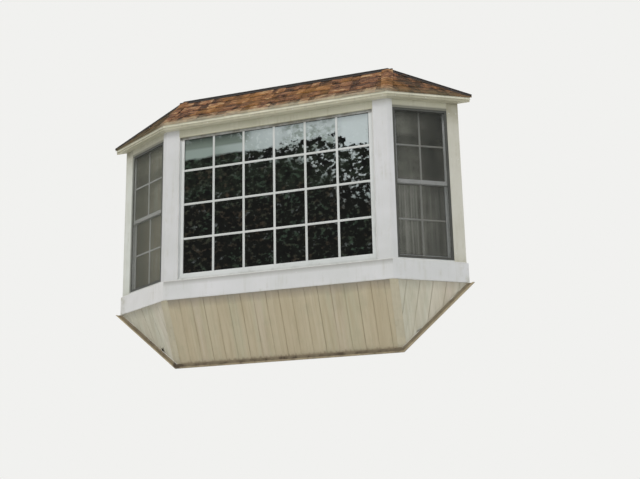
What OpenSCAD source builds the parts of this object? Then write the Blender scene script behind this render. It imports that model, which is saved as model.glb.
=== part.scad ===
// Canted bay window with three sides, a hipped shingle roof and a sloped boarded skirt.
// The wall is the plane y = 0, the front faces -Y, and z = 0 is the underside of the sill band.
// A side's own axes are q along it from the front corner, d inward from its outer face, and z.

/* [Plan] */
// Width of the front between the two outer corners
front_w = 2024; // [1700:4:2400]
// Distance from the wall to the outer face of the front
projection = 316; // [290:2:380]
// Angle between a flank and the wall
flank_angle = 30; // [28:1:36]

/* [Heights] */
// Height of the white sill band
band_h = 172; // [150:2:220]
// Height of the windows between the seat board and the head board
window_h = 1422; // [1200:2:1700]
// Drop of the skirt below the sill band
skirt_drop = 505; // [420:5:620]
// Height of the soffit above the window heads
soffit_over = 12; // [4:1:18]
// Height of the fascia up to the top of the roof deck
fascia_h = 49; // [44:1:70]
// Rise of the roof deck from the eave to the wall
roof_rise = 369; // [300:3:450]

/* [Hip lines] */
// How far the roof's top corners lie inside the front's corners
roof_top_in = 40; // [12:2:110]
// How far the skirt's bottom corners lie inside the front's corners
skirt_foot_in = 9; // [2:1:110]

/* [Boards] */
// Thickness of the seat board and the head board
board_t = 40; // [30:1:50]
// Thickness of the outer covers: corner posts, jamb casings and frieze
cover_t = 14; // [10:1:18]
// How far the sill band stands proud of the covers
band_proud = 8; // [4:1:14]
// Bevel along the band's upper edge
band_bevel = 6; // [3:1:10]
// Width of a corner post's face on the front
post_front_w = 125; // [100:1:160]
// How far a corner post covers the centre frame
post_lap = 28; // [10:1:36]
// Width of timber behind the corner, past the inner mitre
post_core = 5; // [2:1:12]
// How far the frieze boards cover the window heads
frieze_lap = 64; // [54:1:72]
// How far a wall casing covers the flank frame
casing_lap = 16; // [8:1:22]

/* [Window frames] */
// Depth of every window frame
frame_depth = 50; // [48:1:56]
// Width of the flank frames' side members
frame_side = 24; // [20:1:34]
// Height of the flank frames' sills
frame_sill = 20; // [16:1:30]
// Height of every frame's head, mostly behind the frieze
frame_head = 50; // [40:1:52]
// Width of the centre frame's side members
centre_side = 40; // [36:1:60]
// Height of the centre frame's sill
centre_sill = 36; // [26:1:60]
// Height of the sloped lip at the foot of each frame
lip_h = 18; // [10:1:20]
// How far the lip stays behind the covers
lip_inset = 2; // [1:0.5:6]

/* [Sashes and screens] */
// Thickness of a sliding sash
sash_t = 22; // [18:1:23]
// Width of a sash's stiles
stile_w = 30; // [24:1:44]
// Height of a sash's top and bottom rails
rail_h = 36; // [28:1:50]
// Height of the two meeting rails
meeting_h = 34; // [26:1:44]
// Width of the centre sash's members
bead_w = 30; // [24:1:46]
// Thickness of the centre sash
bead_t = 26; // [22:1:30]
// Thickness of a glass unit
glass_t = 10; // [6:1:14]
// Depth of the groove that holds the glass
groove_d = 8; // [5:1:12]
// Width of a screen's frame
screen_w = 20; // [14:1:28]
// Thickness of a screen's frame
screen_t = 8; // [5:1:9]
// Thickness of the screen cloth
mesh_t = 1; // [0.8:0.1:2]
// Running gap round sashes, panes and screens
fit_gap = 0.3; // [0.2:0.1:0.6]

/* [Roof] */
// Overhang of the shingles beyond the covers
eave_overhang = 62; // [50:1:90]
// How far the shingles run past the fascia
shingle_drip = 10; // [5:1:16]
// Thickness of the fascia board
fascia_t = 18; // [12:1:22]
// Thickness of the soffit board
soffit_t = 12; // [8:1:16]
// Thickness of the roof deck
deck_t = 15; // [9:1:19]
// Number of shingle courses up the slope
course_count = 4; // [3:1:6]
// Thickness of a shingle course at its lower edge
shingle_butt = 10; // [7:1:14]
// Thickness of a shingle course at its upper edge
shingle_head = 4; // [3:1:6]
// Height of the metal drip edge
drip_h = 30; // [24:1:44]
// How far the foot of the drip edge kicks out
drip_kick = 5; // [2:1:8]
// Thickness of the drip edge and the flashing
metal_t = 2; // [1.5:0.5:3]
// Height of the flashing's leg on the wall
flashing_up = 14; // [10:1:40]
// Width of the flashing's leg on the roof
flashing_out = 25; // [20:1:70]

/* [Framing] */
// Thickness of rafters, ribs and ledgers
stud_t = 38; // [30:1:45]
// Depth of a rafter across its slope
rafter_d = 89; // [70:1:100]
// Spacing of the rafters
rafter_gap = 406; // [300:2:420]
// Number of rafters on the front slope
rafter_count = 5; // [3:2:5]
// Height of the ledger below the roof
roof_ledger_h = 170; // [150:2:184]
// Height of the ledger below the seat
seat_ledger_h = 184; // [160:2:200]
// Number of ribs in the skirt
rib_count = 6; // [4:1:8]
// Distance of the outer ribs from the skirt's bottom corners
rib_inset = 63; // [50:1:120]

/* [Skirt trim] */
// Thickness of the skirt panels
skirt_t = 12; // [8:1:16]
// Width of each leg of a skirt corner trim
corner_leg = 34; // [24:1:50]
// Thickness of a skirt corner trim
corner_t = 2.5; // [1.5:0.5:4]
// Width of the channel round the skirt
channel_w = 40; // [30:1:50]
// Depth of the channel from the wall
channel_d = 18; // [12:1:20]
// Width of the channel's return lip
channel_lip = 12; // [8:1:16]
// Thickness of the channel's walls
channel_t = 2.5; // [1.5:0.5:4]

/* [Hidden] */
// Plan
front_half = front_w / 2;
roof_top_half = front_half - roof_top_in;
skirt_foot_half = front_half - skirt_foot_in;
flank_len = projection / sin(flank_angle);
wall_half = front_half + projection / tan(flank_angle);
mitre = tan(flank_angle / 2);
// How far cutting shapes run past what they cut: past a flat face, and past everything
overrun = 1;
far = 400;

// Heights
seat_z = band_h;
head_z = seat_z + window_h;
head_top = head_z + board_t;
frieze_z = head_z - frieze_lap;
soffit_z = head_z + soffit_over;
eave_z = soffit_z + fascia_h;
roof_z = eave_z + roof_rise;

// Depths behind the outer face
sash_gap = 1;
sash_setback = 2;
screen_setback = 1;
frame_back = cover_t + frame_depth;
lower_back = frame_back - sash_setback;
lower_front = lower_back - sash_t;
upper_back = lower_front - sash_gap;
upper_front = upper_back - sash_t;
centre_front = cover_t + (frame_depth - bead_t) / 2 - sash_setback;
screen_front = (cover_t - screen_t) / 2 + screen_setback;

// Flank frame along q: the sashes end just short of the wall plane
wall_gap = 3;
flank_q0 = frame_back * mitre + post_core;
flank_open0 = flank_q0 + frame_side;
flank_open1 = flank_len - lower_back / tan(flank_angle) - wall_gap;
flank_q1 = flank_open1 + frame_side;
casing_q = flank_q1 - casing_lap;
flank_open_z0 = seat_z + frame_sill;
flank_open_z1 = head_z - frame_head;
sash_h = (flank_open_z1 - flank_open_z0 + meeting_h) / 2;

// Centre frame
centre_half = front_half - post_front_w + post_lap;
centre_view = front_half - post_front_w;
centre_open_half = centre_half - centre_side;
centre_open_z0 = seat_z + centre_sill;
centre_open_z1 = head_z - frame_head;

// Roof planes: slope per unit of depth, on the front and on a flank
deck_edge = eave_overhang - shingle_drip;
roof_top_d = (wall_half - roof_top_half) * sin(flank_angle);
front_slope = roof_rise / (projection + deck_edge);
flank_slope = roof_rise / (roof_top_d + deck_edge);
roof_corner = [front_half + deck_edge * mitre, -projection - deck_edge];
roof_top = [roof_top_half, 0];

// Skirt planes: depth gained per unit of drop, on the front and on a flank
skirt_foot_d = (wall_half - skirt_foot_half) * sin(flank_angle);
front_lean = projection / skirt_drop;
flank_lean = skirt_foot_d / skirt_drop;
skirt_corner = [front_half, -projection];
skirt_foot = [skirt_foot_half, 0];

// Places children given in the front's own axes, with q = x measured from the middle
module at_front() {
    translate([0, -projection, 0])
        children();
}

// Places children given in a flank's own axes; hand is 1 on the right and -1 on the left
module at_flank(hand) {
    mirror([hand < 0 ? 1 : 0, 0, 0])
        translate([front_half, -projection, 0])
            rotate([0, 0, flank_angle])
                children();
}

// Profile in d and z, drawn out along q from q0 to q1
module drawn(q0, q1) {
    translate([q0, 0, 0])
        rotate([90, 0, 90])
            linear_extrude(q1 - q0)
                children();
}

// Tall prism over the right flank: outside the line from corner to top, in front of the wall
module flank_zone(corner, top) {
    reach = corner + (corner - top) * far / norm(corner - top);
    translate([0, 0, -2 * far - skirt_drop])
        linear_extrude(5 * far + head_top + roof_rise + skirt_drop)
            polygon([reach, [wall_half + far, reach[1]], [wall_half + far, 0], top]);
}

// Tall prism over the front, between the same two lines
module front_zone(corner, top) {
    reach = corner + (corner - top) * far / norm(corner - top);
    translate([0, 0, -2 * far - skirt_drop])
        linear_extrude(5 * far + head_top + roof_rise + skirt_drop)
            polygon([reach, top, [-top[0], 0], [-reach[0], reach[1]]]);
}

// Ends of the plan mitre at the front corner
mitre_out = [front_half, -projection];
mitre_in = [front_half - projection * mitre, 0];

// Profile run along the front and cut on the mitres
module front_run() {
    intersection() {
        at_front()
            drawn(-wall_half - far, wall_half + far)
                children();
        front_zone(mitre_out, mitre_in);
    }
}

// Profile run along a flank and cut on the mitre and on the wall
module flank_run(hand) {
    mirror([hand < 0 ? 1 : 0, 0, 0])
        intersection() {
            at_flank(1)
                drawn(-far, flank_len + far)
                    children();
            flank_zone(mitre_out, mitre_in);
        }
}

// Ring of four members round an opening, from lo to hi in q and z, with d from front to back
module ring(lo, hi, side, foot, head, front, back) {
    difference() {
        translate([lo[0], front, lo[1]])
            cube([hi[0] - lo[0], back - front, hi[1] - lo[1]]);
        translate([lo[0] + side, front - overrun, lo[1] + foot])
            cube([hi[0] - lo[0] - 2 * side, back - front + 2 * overrun, hi[1] - lo[1] - foot - head]);
    }
}

// Sash: a ring with a groove round its opening for the glass
module sash(lo, hi, side, foot, head, front, thick) {
    groove_t = glass_t + 2 * fit_gap;
    difference() {
        ring(lo, hi, side, foot, head, front, front + thick);
        translate([lo[0] + side - groove_d, front + (thick - groove_t) / 2, lo[1] + foot - groove_d])
            cube([
                hi[0] - lo[0] - 2 * side + 2 * groove_d,
                groove_t,
                hi[1] - lo[1] - foot - head + 2 * groove_d
            ]);
    }
}

// Glass that sits in the groove of the sash with the same sizes
module pane(lo, hi, side, foot, head, front, thick) {
    inset = groove_d - fit_gap;
    translate([lo[0] + side - inset, front + (thick - glass_t) / 2, lo[1] + foot - inset])
        cube([
            hi[0] - lo[0] - 2 * side + 2 * inset,
            glass_t,
            hi[1] - lo[1] - foot - head + 2 * inset
        ]);
}

// Sloped lip at a frame's foot, between the covers and rooted in the frame
module sill_lip(q0, q1) {
    fall = 3;
    root = cover_t + overrun;
    drawn(q0, q1)
        polygon([
            [lip_inset, seat_z],
            [root, seat_z],
            [root, seat_z + lip_h],
            [cover_t, seat_z + lip_h],
            [lip_inset, seat_z + lip_h - fall]
        ]);
}

// Plan of the seat and the head: everything behind the covers
module board_plan() {
    half = front_half - cover_t * mitre;
    wall = wall_half - cover_t / sin(flank_angle);
    polygon([[-wall, 0], [-half, cover_t - projection], [half, cover_t - projection], [wall, 0]]);
}

module seat_board() {
    color("tan")
        translate([0, 0, seat_z - board_t])
            linear_extrude(board_t)
                board_plan();
}

module head_board() {
    color("tan")
        translate([0, 0, head_z])
            linear_extrude(board_t)
                board_plan();
}

// Ledger on the wall below the seat; it stops short of the leaning skirt panels
ledger_below = seat_ledger_h + board_t - seat_z;
skirt_side_t = skirt_t * sqrt(1 + flank_lean * flank_lean);
ledger_half = wall_half - (stud_t + ledger_below * flank_lean * cos(flank_angle)) / tan(flank_angle)
    - (ledger_below * flank_lean + skirt_side_t) * sin(flank_angle) - skirt_side_t - stud_t;

module wall_ledger() {
    color("burlywood")
        translate([-ledger_half, -stud_t, seat_z - board_t - seat_ledger_h])
            cube([2 * ledger_half, stud_t, seat_ledger_h]);
}

// Post on the mitre of a front corner, in plan, with its corner at the origin
function along_flank(q, d) = [
    q * cos(flank_angle) - d * sin(flank_angle),
    q * sin(flank_angle) + d * cos(flank_angle)
];

module post_cover_plan() {
    polygon([
        [0, 0],
        along_flank(flank_open0, 0),
        along_flank(flank_open0, cover_t),
        [-cover_t * mitre, cover_t],
        [-post_front_w, cover_t],
        [-post_front_w, 0]
    ]);
}

module post_core_plan() {
    polygon([
        [-cover_t * mitre, cover_t],
        along_flank(flank_q0 - fit_gap, cover_t),
        along_flank(flank_q0 - fit_gap, frame_back),
        [-frame_back * mitre, frame_back],
        [post_lap - post_front_w + fit_gap, frame_back],
        [post_lap - post_front_w + fit_gap, cover_t]
    ]);
}

module corner_post(hand) {
    color("white")
        mirror([hand < 0 ? 1 : 0, 0, 0])
            translate([front_half, -projection, seat_z]) {
                linear_extrude(head_top - seat_z)
                    post_cover_plan();
                linear_extrude(head_z - seat_z)
                    post_core_plan();
            }
}

// Wedge of timber between a flank frame and the wall, with its casing
module wall_jamb(hand) {
    core_q = flank_q1 + fit_gap;
    core_d = (flank_len - core_q) * tan(flank_angle);
    color("white")
        at_flank(hand)
            translate([0, 0, seat_z]) {
                linear_extrude(head_top - seat_z)
                    polygon([
                        [casing_q, 0],
                        [flank_len, 0],
                        [flank_len - cover_t / tan(flank_angle), cover_t],
                        [casing_q, cover_t]
                    ]);
                linear_extrude(head_z - seat_z)
                    polygon([
                        [core_q, cover_t],
                        [flank_len - cover_t / tan(flank_angle), cover_t],
                        [core_q, core_d]
                    ]);
            }
}

// Fixed window in the middle
module centre_frame() {
    color("white")
        at_front() {
            ring([-centre_half, seat_z], [centre_half, head_z],
                centre_side, centre_sill, frame_head, cover_t, frame_back);
            sill_lip(-centre_view, centre_view);
        }
}

centre_lo = [-centre_open_half + fit_gap, centre_open_z0];
centre_hi = [centre_open_half - fit_gap, centre_open_z1 - fit_gap];

module centre_sash() {
    color("white")
        at_front()
            sash(centre_lo, centre_hi, bead_w, bead_w, bead_w, centre_front, bead_t);
}

module centre_glass() {
    color("lightblue", 0.4)
        at_front()
            pane(centre_lo, centre_hi, bead_w, bead_w, bead_w, centre_front, bead_t);
}

// Double-hung window in a flank; its wall side is bevelled flush with the wall
module flank_frame(hand) {
    color("white")
        mirror([hand < 0 ? 1 : 0, 0, 0])
            intersection() {
                at_flank(1) {
                    ring([flank_q0, seat_z], [flank_q1, head_z],
                        frame_side, frame_sill, frame_head, cover_t, frame_back);
                    sill_lip(flank_open0, casing_q);
                }
                flank_zone([front_half, -projection], [front_half - projection, 0]);
            }
}

sash_q0 = flank_open0 + fit_gap;
sash_q1 = flank_open1 - fit_gap;
upper_lo = [sash_q0, flank_open_z1 - sash_h];
upper_hi = [sash_q1, flank_open_z1 - fit_gap];
lower_lo = [sash_q0, flank_open_z0];
lower_hi = [sash_q1, flank_open_z0 + sash_h];

module upper_sash(hand) {
    color("white")
        at_flank(hand)
            sash(upper_lo, upper_hi, stile_w, meeting_h, rail_h, upper_front, sash_t);
}

module lower_sash(hand) {
    color("white")
        at_flank(hand)
            sash(lower_lo, lower_hi, stile_w, rail_h, meeting_h, lower_front, sash_t);
}

module flank_glass(hand) {
    color("lightblue", 0.4)
        at_flank(hand) {
            pane(upper_lo, upper_hi, stile_w, meeting_h, rail_h, upper_front, sash_t);
            pane(lower_lo, lower_hi, stile_w, rail_h, meeting_h, lower_front, sash_t);
        }
}

// Insect screen between the covers, standing on the frame's lip
screen_lo = [flank_open0 + fit_gap, seat_z + lip_h];
screen_hi = [casing_q - fit_gap, frieze_z - fit_gap];

module screen_frame(hand) {
    color("dimgray")
        at_flank(hand)
            ring(screen_lo, screen_hi, screen_w, screen_w, screen_w,
                screen_front, screen_front + screen_t);
}

module screen_mesh(hand) {
    color("gray", 0.7)
        at_flank(hand)
            translate([
                screen_lo[0] + screen_w + fit_gap,
                screen_front + (screen_t - mesh_t) / 2,
                screen_lo[1] + screen_w + fit_gap
            ])
                cube([
                    screen_hi[0] - screen_lo[0] - 2 * (screen_w + fit_gap),
                    mesh_t,
                    screen_hi[1] - screen_lo[1] - 2 * (screen_w + fit_gap)
                ]);
}

// Sill band with a bevelled upper edge
module band_profile() {
    polygon([
        [-band_proud, 0],
        [cover_t, 0],
        [cover_t, band_h],
        [band_bevel - band_proud, band_h],
        [-band_proud, band_h - band_bevel]
    ]);
}

module sill_front() {
    color("white")
        front_run()
            band_profile();
}

module sill_flank(hand) {
    color("white")
        flank_run(hand)
            band_profile();
}

// Frieze boards over the window heads, between the covers
module frieze_front() {
    color("white")
        at_front()
            translate([-centre_view, 0, frieze_z])
                cube([2 * centre_view, cover_t, head_top - frieze_z]);
}

module frieze_flank(hand) {
    color("white")
        at_flank(hand)
            translate([flank_open0, 0, frieze_z])
                cube([casing_q - flank_open0, cover_t, head_top - frieze_z]);
}

// Height of the deck's underside at a depth on a slope
function deck_under(d, slope) =
    eave_z + slope * (d + deck_edge) - deck_t * sqrt(1 + slope * slope);

// Boxed eave: a soffit from the covers out to an upright fascia that meets the deck
module eave_profile(slope) {
    polygon([
        [-deck_edge, soffit_z],
        [0, soffit_z],
        [0, soffit_z + soffit_t],
        [fascia_t - deck_edge, soffit_z + soffit_t],
        [fascia_t - deck_edge, deck_under(fascia_t - deck_edge, slope)],
        [-deck_edge, deck_under(-deck_edge, slope)]
    ]);
}

module eave_front() {
    color("gainsboro")
        front_run()
            eave_profile(front_slope);
}

module eave_flank(hand) {
    color("gainsboro")
        flank_run(hand)
            eave_profile(flank_slope);
}

// Bright metal strip over the fascia and the deck's edge, with its foot kicked out
module drip_profile() {
    foot = eave_z - drip_h;
    polygon([
        [-deck_edge, eave_z - metal_t],
        [-deck_edge, foot + drip_kick],
        [-deck_edge - drip_kick, foot],
        [-deck_edge - drip_kick - metal_t, foot],
        [-deck_edge - metal_t, foot + drip_kick],
        [-deck_edge - metal_t, eave_z - metal_t]
    ]);
}

module drip_edge() {
    color("ivory") {
        front_run()
            drip_profile();
        flank_run(1)
            drip_profile();
        flank_run(-1)
            drip_profile();
    }
}

// Slab that follows a roof slope between two heights above the deck's top
module slope_slab(d0, d1, slope, under, over) {
    rise = sqrt(1 + slope * slope);
    function top_z(d) = eave_z + slope * (d + deck_edge);
    polygon([
        [d0, top_z(d0) + under * rise],
        [d1, top_z(d1) + under * rise],
        [d1, top_z(d1) + over * rise],
        [d0, top_z(d0) + over * rise]
    ]);
}

module front_slope_cut() {
    intersection() {
        at_front()
            drawn(-wall_half - far, wall_half + far)
                children();
        front_zone(roof_corner, roof_top);
    }
}

module flank_slope_cut(hand) {
    mirror([hand < 0 ? 1 : 0, 0, 0])
        intersection() {
            at_flank(1)
                drawn(-far, flank_len + far)
                    children();
            flank_zone(roof_corner, roof_top);
        }
}

module roof_deck() {
    color("peru") {
        front_slope_cut()
            slope_slab(-deck_edge, projection, front_slope, -deck_t, 0);
        for (hand = [-1, 1])
            flank_slope_cut(hand)
                slope_slab(-deck_edge, projection, flank_slope, -deck_t, 0);
    }
}

// Lapped courses: each starts thick at its lower edge and thins out under the next one
module course_profile(top_d, slope) {
    rise = sqrt(1 + slope * slope);
    step = (top_d + eave_overhang) / course_count;
    function top_z(d) = eave_z + slope * (d + deck_edge);
    function lap(i) = [
        [i * step - eave_overhang, top_z(i * step - eave_overhang) + shingle_butt * rise],
        [(i + 1) * step - eave_overhang, top_z((i + 1) * step - eave_overhang) + shingle_head * rise]
    ];
    polygon(concat(
        [[-eave_overhang, top_z(-eave_overhang)]],
        [for (i = [0 : course_count - 1]) each lap(i)],
        [[top_d, top_z(top_d)]]
    ));
}

module shingles_front() {
    color("saddlebrown")
        front_slope_cut()
            course_profile(projection, front_slope);
}

module shingles_flank(hand) {
    color("saddlebrown")
        flank_slope_cut(hand)
            course_profile(roof_top_d, flank_slope);
}

// Flashing where the roof meets the wall: a leg up the wall and a leg out over the shingles
front_lift = (shingle_butt + fit_gap) * sqrt(1 + front_slope * front_slope);
flank_lift = (shingle_butt + fit_gap) * sqrt(1 + flank_slope * flank_slope);
tip_x = wall_half + eave_overhang / sin(flank_angle);
tip_z = eave_z - flank_slope * shingle_drip;

module wall_leg() {
    lift = max(front_lift, flank_lift);
    path = [[-tip_x, tip_z], [-roof_top_half, roof_z], [roof_top_half, roof_z], [tip_x, tip_z]];
    rotate([90, 0, 0])
        linear_extrude(metal_t)
            polygon(concat(
                [for (p = path) [p[0], p[1] + lift]],
                [for (i = [3 : -1 : 0]) [path[i][0], path[i][1] + lift + flashing_up]]
            ));
}

module by_the_wall() {
    intersection() {
        children();
        translate([-tip_x, -flashing_out, eave_z - far])
            cube([2 * tip_x, flashing_out, roof_rise + 2 * far]);
    }
}

module wall_flashing() {
    over = shingle_butt + fit_gap;
    color("dimgray") {
        wall_leg();
        by_the_wall()
            front_slope_cut()
                slope_slab(-eave_overhang, projection, front_slope, over, over + metal_t);
        for (hand = [-1, 1])
            by_the_wall()
                flank_slope_cut(hand)
                    slope_slab(-eave_overhang, projection, flank_slope, over, over + metal_t);
    }
}

// Ledger on the wall below the roof, bevelled to the deck
hip_dir = roof_top - roof_corner;
hip_run = norm(hip_dir);
hip_turn = atan2(hip_dir[1], hip_dir[0]);
ledger_gap = 2;
roof_ledger_half = roof_top_half - stud_t / 2 - ledger_gap;

module roof_ledger() {
    top = deck_under(projection, front_slope);
    color("burlywood")
        drawn(-roof_ledger_half, roof_ledger_half)
            polygon([
                [0, top],
                [-stud_t, deck_under(projection - stud_t, front_slope)],
                [-stud_t, top - roof_ledger_h],
                [0, top - roof_ledger_h]
            ]);
}

// Rafter of the front slope: it bears on the head board and its tail carries the fascia
module rafter_profile() {
    tail = fascia_t - deck_edge;
    wall = projection - stud_t;
    deep = rafter_d * sqrt(1 + front_slope * front_slope);
    seat_d = (head_top - deck_under(0, front_slope) + deep) / front_slope;
    polygon([
        [tail, deck_under(tail, front_slope)],
        [wall, deck_under(wall, front_slope)],
        [wall, deck_under(wall, front_slope) - deep],
        [seat_d, head_top],
        [0, head_top],
        [0, soffit_z + soffit_t],
        [tail, soffit_z + soffit_t]
    ]);
}

// Hip rafter, dropped so that its edges clear both decks, measured along the hip in plan
module hip_rafter_profile() {
    slope = roof_rise / hip_run;
    deep = rafter_d * sqrt(1 + slope * slope);
    deck_v = deck_t * sqrt(1 + flank_slope * flank_slope);
    drop = stud_t / 2 * flank_slope * sin(flank_angle);
    start = (deck_edge + cover_t) / sin(hip_turn);
    function under(r) = eave_z + slope * r - deck_v - drop;
    seat_r = (head_top - under(0) + deep) / slope;
    polygon([
        [start, under(start)],
        [hip_run, under(hip_run)],
        [hip_run, under(hip_run) - deep],
        [seat_r, head_top],
        [start, head_top]
    ]);
}

module hip_rafter(hand) {
    mirror([hand < 0 ? 1 : 0, 0, 0])
        intersection() {
            translate([roof_corner[0], roof_corner[1], 0])
                rotate([0, 0, hip_turn])
                    translate([0, stud_t / 2, 0])
                        rotate([90, 0, 0])
                            linear_extrude(stud_t)
                                hip_rafter_profile();
            translate([0, -projection - far, 0])
                cube([wall_half, projection + far, roof_z + far]);
        }
}

module rafters() {
    color("burlywood") {
        for (i = [0 : rafter_count - 1])
            at_front()
                drawn((i - (rafter_count - 1) / 2) * rafter_gap - stud_t / 2,
                    (i - (rafter_count - 1) / 2) * rafter_gap + stud_t / 2)
                    rafter_profile();
        for (hand = [-1, 1])
            hip_rafter(hand);
    }
}

// Slab that leans back to the wall as it goes down, run on by some spare height at both ends
module lean_slab(lean, under, over, spare) {
    thick = sqrt(1 + lean * lean);
    low = skirt_drop + spare;
    polygon([
        [under * thick - lean * spare, spare],
        [over * thick - lean * spare, spare],
        [over * thick + lean * low, -low],
        [under * thick + lean * low, -low]
    ]);
}

module skirt_front() {
    color("wheat")
        intersection() {
            at_front()
                drawn(-wall_half - far, wall_half + far)
                    lean_slab(front_lean, 0, skirt_t, 0);
            front_zone(skirt_corner, skirt_foot);
        }
}

module skirt_flank(hand) {
    color("wheat")
        mirror([hand < 0 ? 1 : 0, 0, 0])
            intersection() {
                at_flank(1)
                    drawn(-far, flank_len + far)
                        lean_slab(flank_lean, 0, skirt_t, 0);
                flank_zone(skirt_corner, skirt_foot);
            }
}

// Wedge behind both skirt planes at the right hip, after they are moved outward
module hip_wedge(out, depth) {
    intersection() {
        at_front()
            drawn(0, wall_half)
                lean_slab(front_lean, -out, depth, depth);
        at_flank(1)
            drawn(-front_half, flank_len)
                lean_slab(flank_lean, -out, depth, depth);
    }
}

// Folded trim over each hip of the skirt, ending just short of the channel's nailing leg
module skirt_corners() {
    side = [corner_leg, 0];
    wall_end = [0, -2 * channel_t];
    past_corner = [0, -corner_leg];
    color("wheat")
        for (hand = [-1, 1])
            mirror([hand < 0 ? 1 : 0, 0, 0])
                intersection() {
                    difference() {
                        hip_wedge(corner_t, 2 * corner_leg);
                        hip_wedge(0, 3 * corner_leg);
                    }
                    translate([0, 0, -skirt_drop])
                        linear_extrude(skirt_drop)
                            polygon([
                                skirt_corner + past_corner - side,
                                skirt_corner + past_corner + side,
                                skirt_corner + side,
                                skirt_foot + wall_end + side,
                                skirt_foot + wall_end - side,
                                skirt_corner - side
                            ]);
                }
}

// Outline of the skirt on the wall, widened by w
side_angle = atan2(skirt_drop, wall_half - skirt_foot_half);

function skirt_outline(w, top) = [
    [-wall_half - w / sin(side_angle) - top / tan(side_angle), top],
    [-skirt_foot_half - w * tan(side_angle / 2), -skirt_drop - w],
    [skirt_foot_half + w * tan(side_angle / 2), -skirt_drop - w],
    [wall_half + w / sin(side_angle) + top / tan(side_angle), top]
];

// Open strip between two widths of the skirt's outline
module outline_strip(w0, w1) {
    top = -channel_t;
    polygon(concat(
        skirt_outline(w1, top),
        [for (i = [3 : -1 : 0]) skirt_outline(w0, top)[i]]
    ));
}

// Channel round the skirt's foot: a web off the wall, a nailing leg and a return lip
module skirt_channel() {
    web_w = channel_w - channel_t;
    color("tan")
        rotate([90, 0, 0]) {
            linear_extrude(channel_t)
                outline_strip(fit_gap, channel_w);
            linear_extrude(channel_d)
                outline_strip(web_w, channel_w);
            translate([0, 0, channel_d - channel_t])
                linear_extrude(channel_t)
                    outline_strip(channel_w - channel_lip, channel_w);
        }
}

// Ribs inside the skirt, notched over the ledger
module rib_profile() {
    inner = skirt_t * sqrt(1 + front_lean * front_lean);
    ledger_z = seat_z - board_t - seat_ledger_h;
    front_d = max(cover_t, inner);
    polygon([
        [front_d, seat_z - board_t],
        [projection - stud_t, seat_z - board_t],
        [projection - stud_t, ledger_z],
        [projection, ledger_z],
        [projection, (inner - projection) / front_lean],
        [front_d, (inner - front_d) / front_lean]
    ]);
}

module skirt_ribs() {
    span = 2 * (skirt_foot_half - rib_inset);
    color("burlywood")
        for (i = [0 : rib_count - 1])
            at_front()
                drawn(span * (i / (rib_count - 1) - 0.5) - stud_t / 2,
                    span * (i / (rib_count - 1) - 0.5) + stud_t / 2)
                    rib_profile();
}

wall_ledger();
roof_ledger();
wall_jamb(-1);  // left_wall_jamb
wall_jamb(1);  // right_wall_jamb
seat_board();
head_board();
corner_post(-1);  // left_corner_post
corner_post(1);  // right_corner_post
centre_frame();
centre_sash();
centre_glass();
flank_frame(-1);  // left_frame
upper_sash(-1);  // left_upper_sash
lower_sash(-1);  // left_lower_sash
flank_glass(-1);  // left_glass
screen_frame(-1);  // left_screen_frame
screen_mesh(-1);  // left_screen_mesh
flank_frame(1);  // right_frame
upper_sash(1);  // right_upper_sash
lower_sash(1);  // right_lower_sash
flank_glass(1);  // right_glass
screen_frame(1);  // right_screen_frame
screen_mesh(1);  // right_screen_mesh
sill_front();
sill_flank(-1);  // sill_left
sill_flank(1);  // sill_right
frieze_front();
frieze_flank(-1);  // frieze_left
frieze_flank(1);  // frieze_right
eave_front();
eave_flank(-1);  // eave_left
eave_flank(1);  // eave_right
drip_edge();
rafters();
roof_deck();
shingles_front();
shingles_flank(-1);  // shingles_left
shingles_flank(1);  // shingles_right
wall_flashing();
skirt_ribs();
skirt_front();
skirt_flank(-1);  // skirt_left
skirt_flank(1);  // skirt_right
skirt_corners();
skirt_channel();
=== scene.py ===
# Bay window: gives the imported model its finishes, its window bars, boards, shingles and small fittings
import bmesh
import bpy
import math
import numpy as np
from mathutils import Matrix, Vector


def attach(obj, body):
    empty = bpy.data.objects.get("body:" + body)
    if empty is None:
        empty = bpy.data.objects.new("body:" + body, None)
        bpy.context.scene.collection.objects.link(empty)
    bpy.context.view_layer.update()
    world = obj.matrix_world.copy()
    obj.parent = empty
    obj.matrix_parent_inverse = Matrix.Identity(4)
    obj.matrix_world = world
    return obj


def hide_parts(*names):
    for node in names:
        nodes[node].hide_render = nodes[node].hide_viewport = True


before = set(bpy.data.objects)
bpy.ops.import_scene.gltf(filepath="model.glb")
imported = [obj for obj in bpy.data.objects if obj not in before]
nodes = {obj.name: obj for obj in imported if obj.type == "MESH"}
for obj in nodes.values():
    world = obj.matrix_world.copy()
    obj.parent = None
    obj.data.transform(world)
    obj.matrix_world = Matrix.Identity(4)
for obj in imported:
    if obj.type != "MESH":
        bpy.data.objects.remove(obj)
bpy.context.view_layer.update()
scene = bpy.context.scene
print("stage: frame loaded with", len(nodes), "nodes")

# The bay's own plan and levels in metres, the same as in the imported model
bay = {
    "frontHalf": 1.012,      # half the width of the front
    "projection": 0.316,     # wall to the front's outer face
    "flankAngle": 30.0,      # degrees between a flank and the wall
    "eaveZ": 1.655,          # top of the roof deck at its lower edge
    "roofRise": 0.369,       # from there up to the wall
    "roofTopHalf": 0.972,    # half length of the roof's top edge
    "deckEdge": 0.052,       # deck past the outer face
    "overhang": 0.062,       # shingles past the outer face
    "skirtDrop": 0.505,      # sill band down to the skirt's foot
    "skirtFootHalf": 1.003,  # half length of the skirt's bottom edge
}
turn = math.radians(bay["flankAngle"])
cosT, sinT = math.cos(turn), math.sin(turn)
wallHalf = bay["frontHalf"] + bay["projection"] / math.tan(turn)
flanks = ((-1, "left"), (1, "right"))
sides = ((0, "front"), *flanks)


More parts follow.
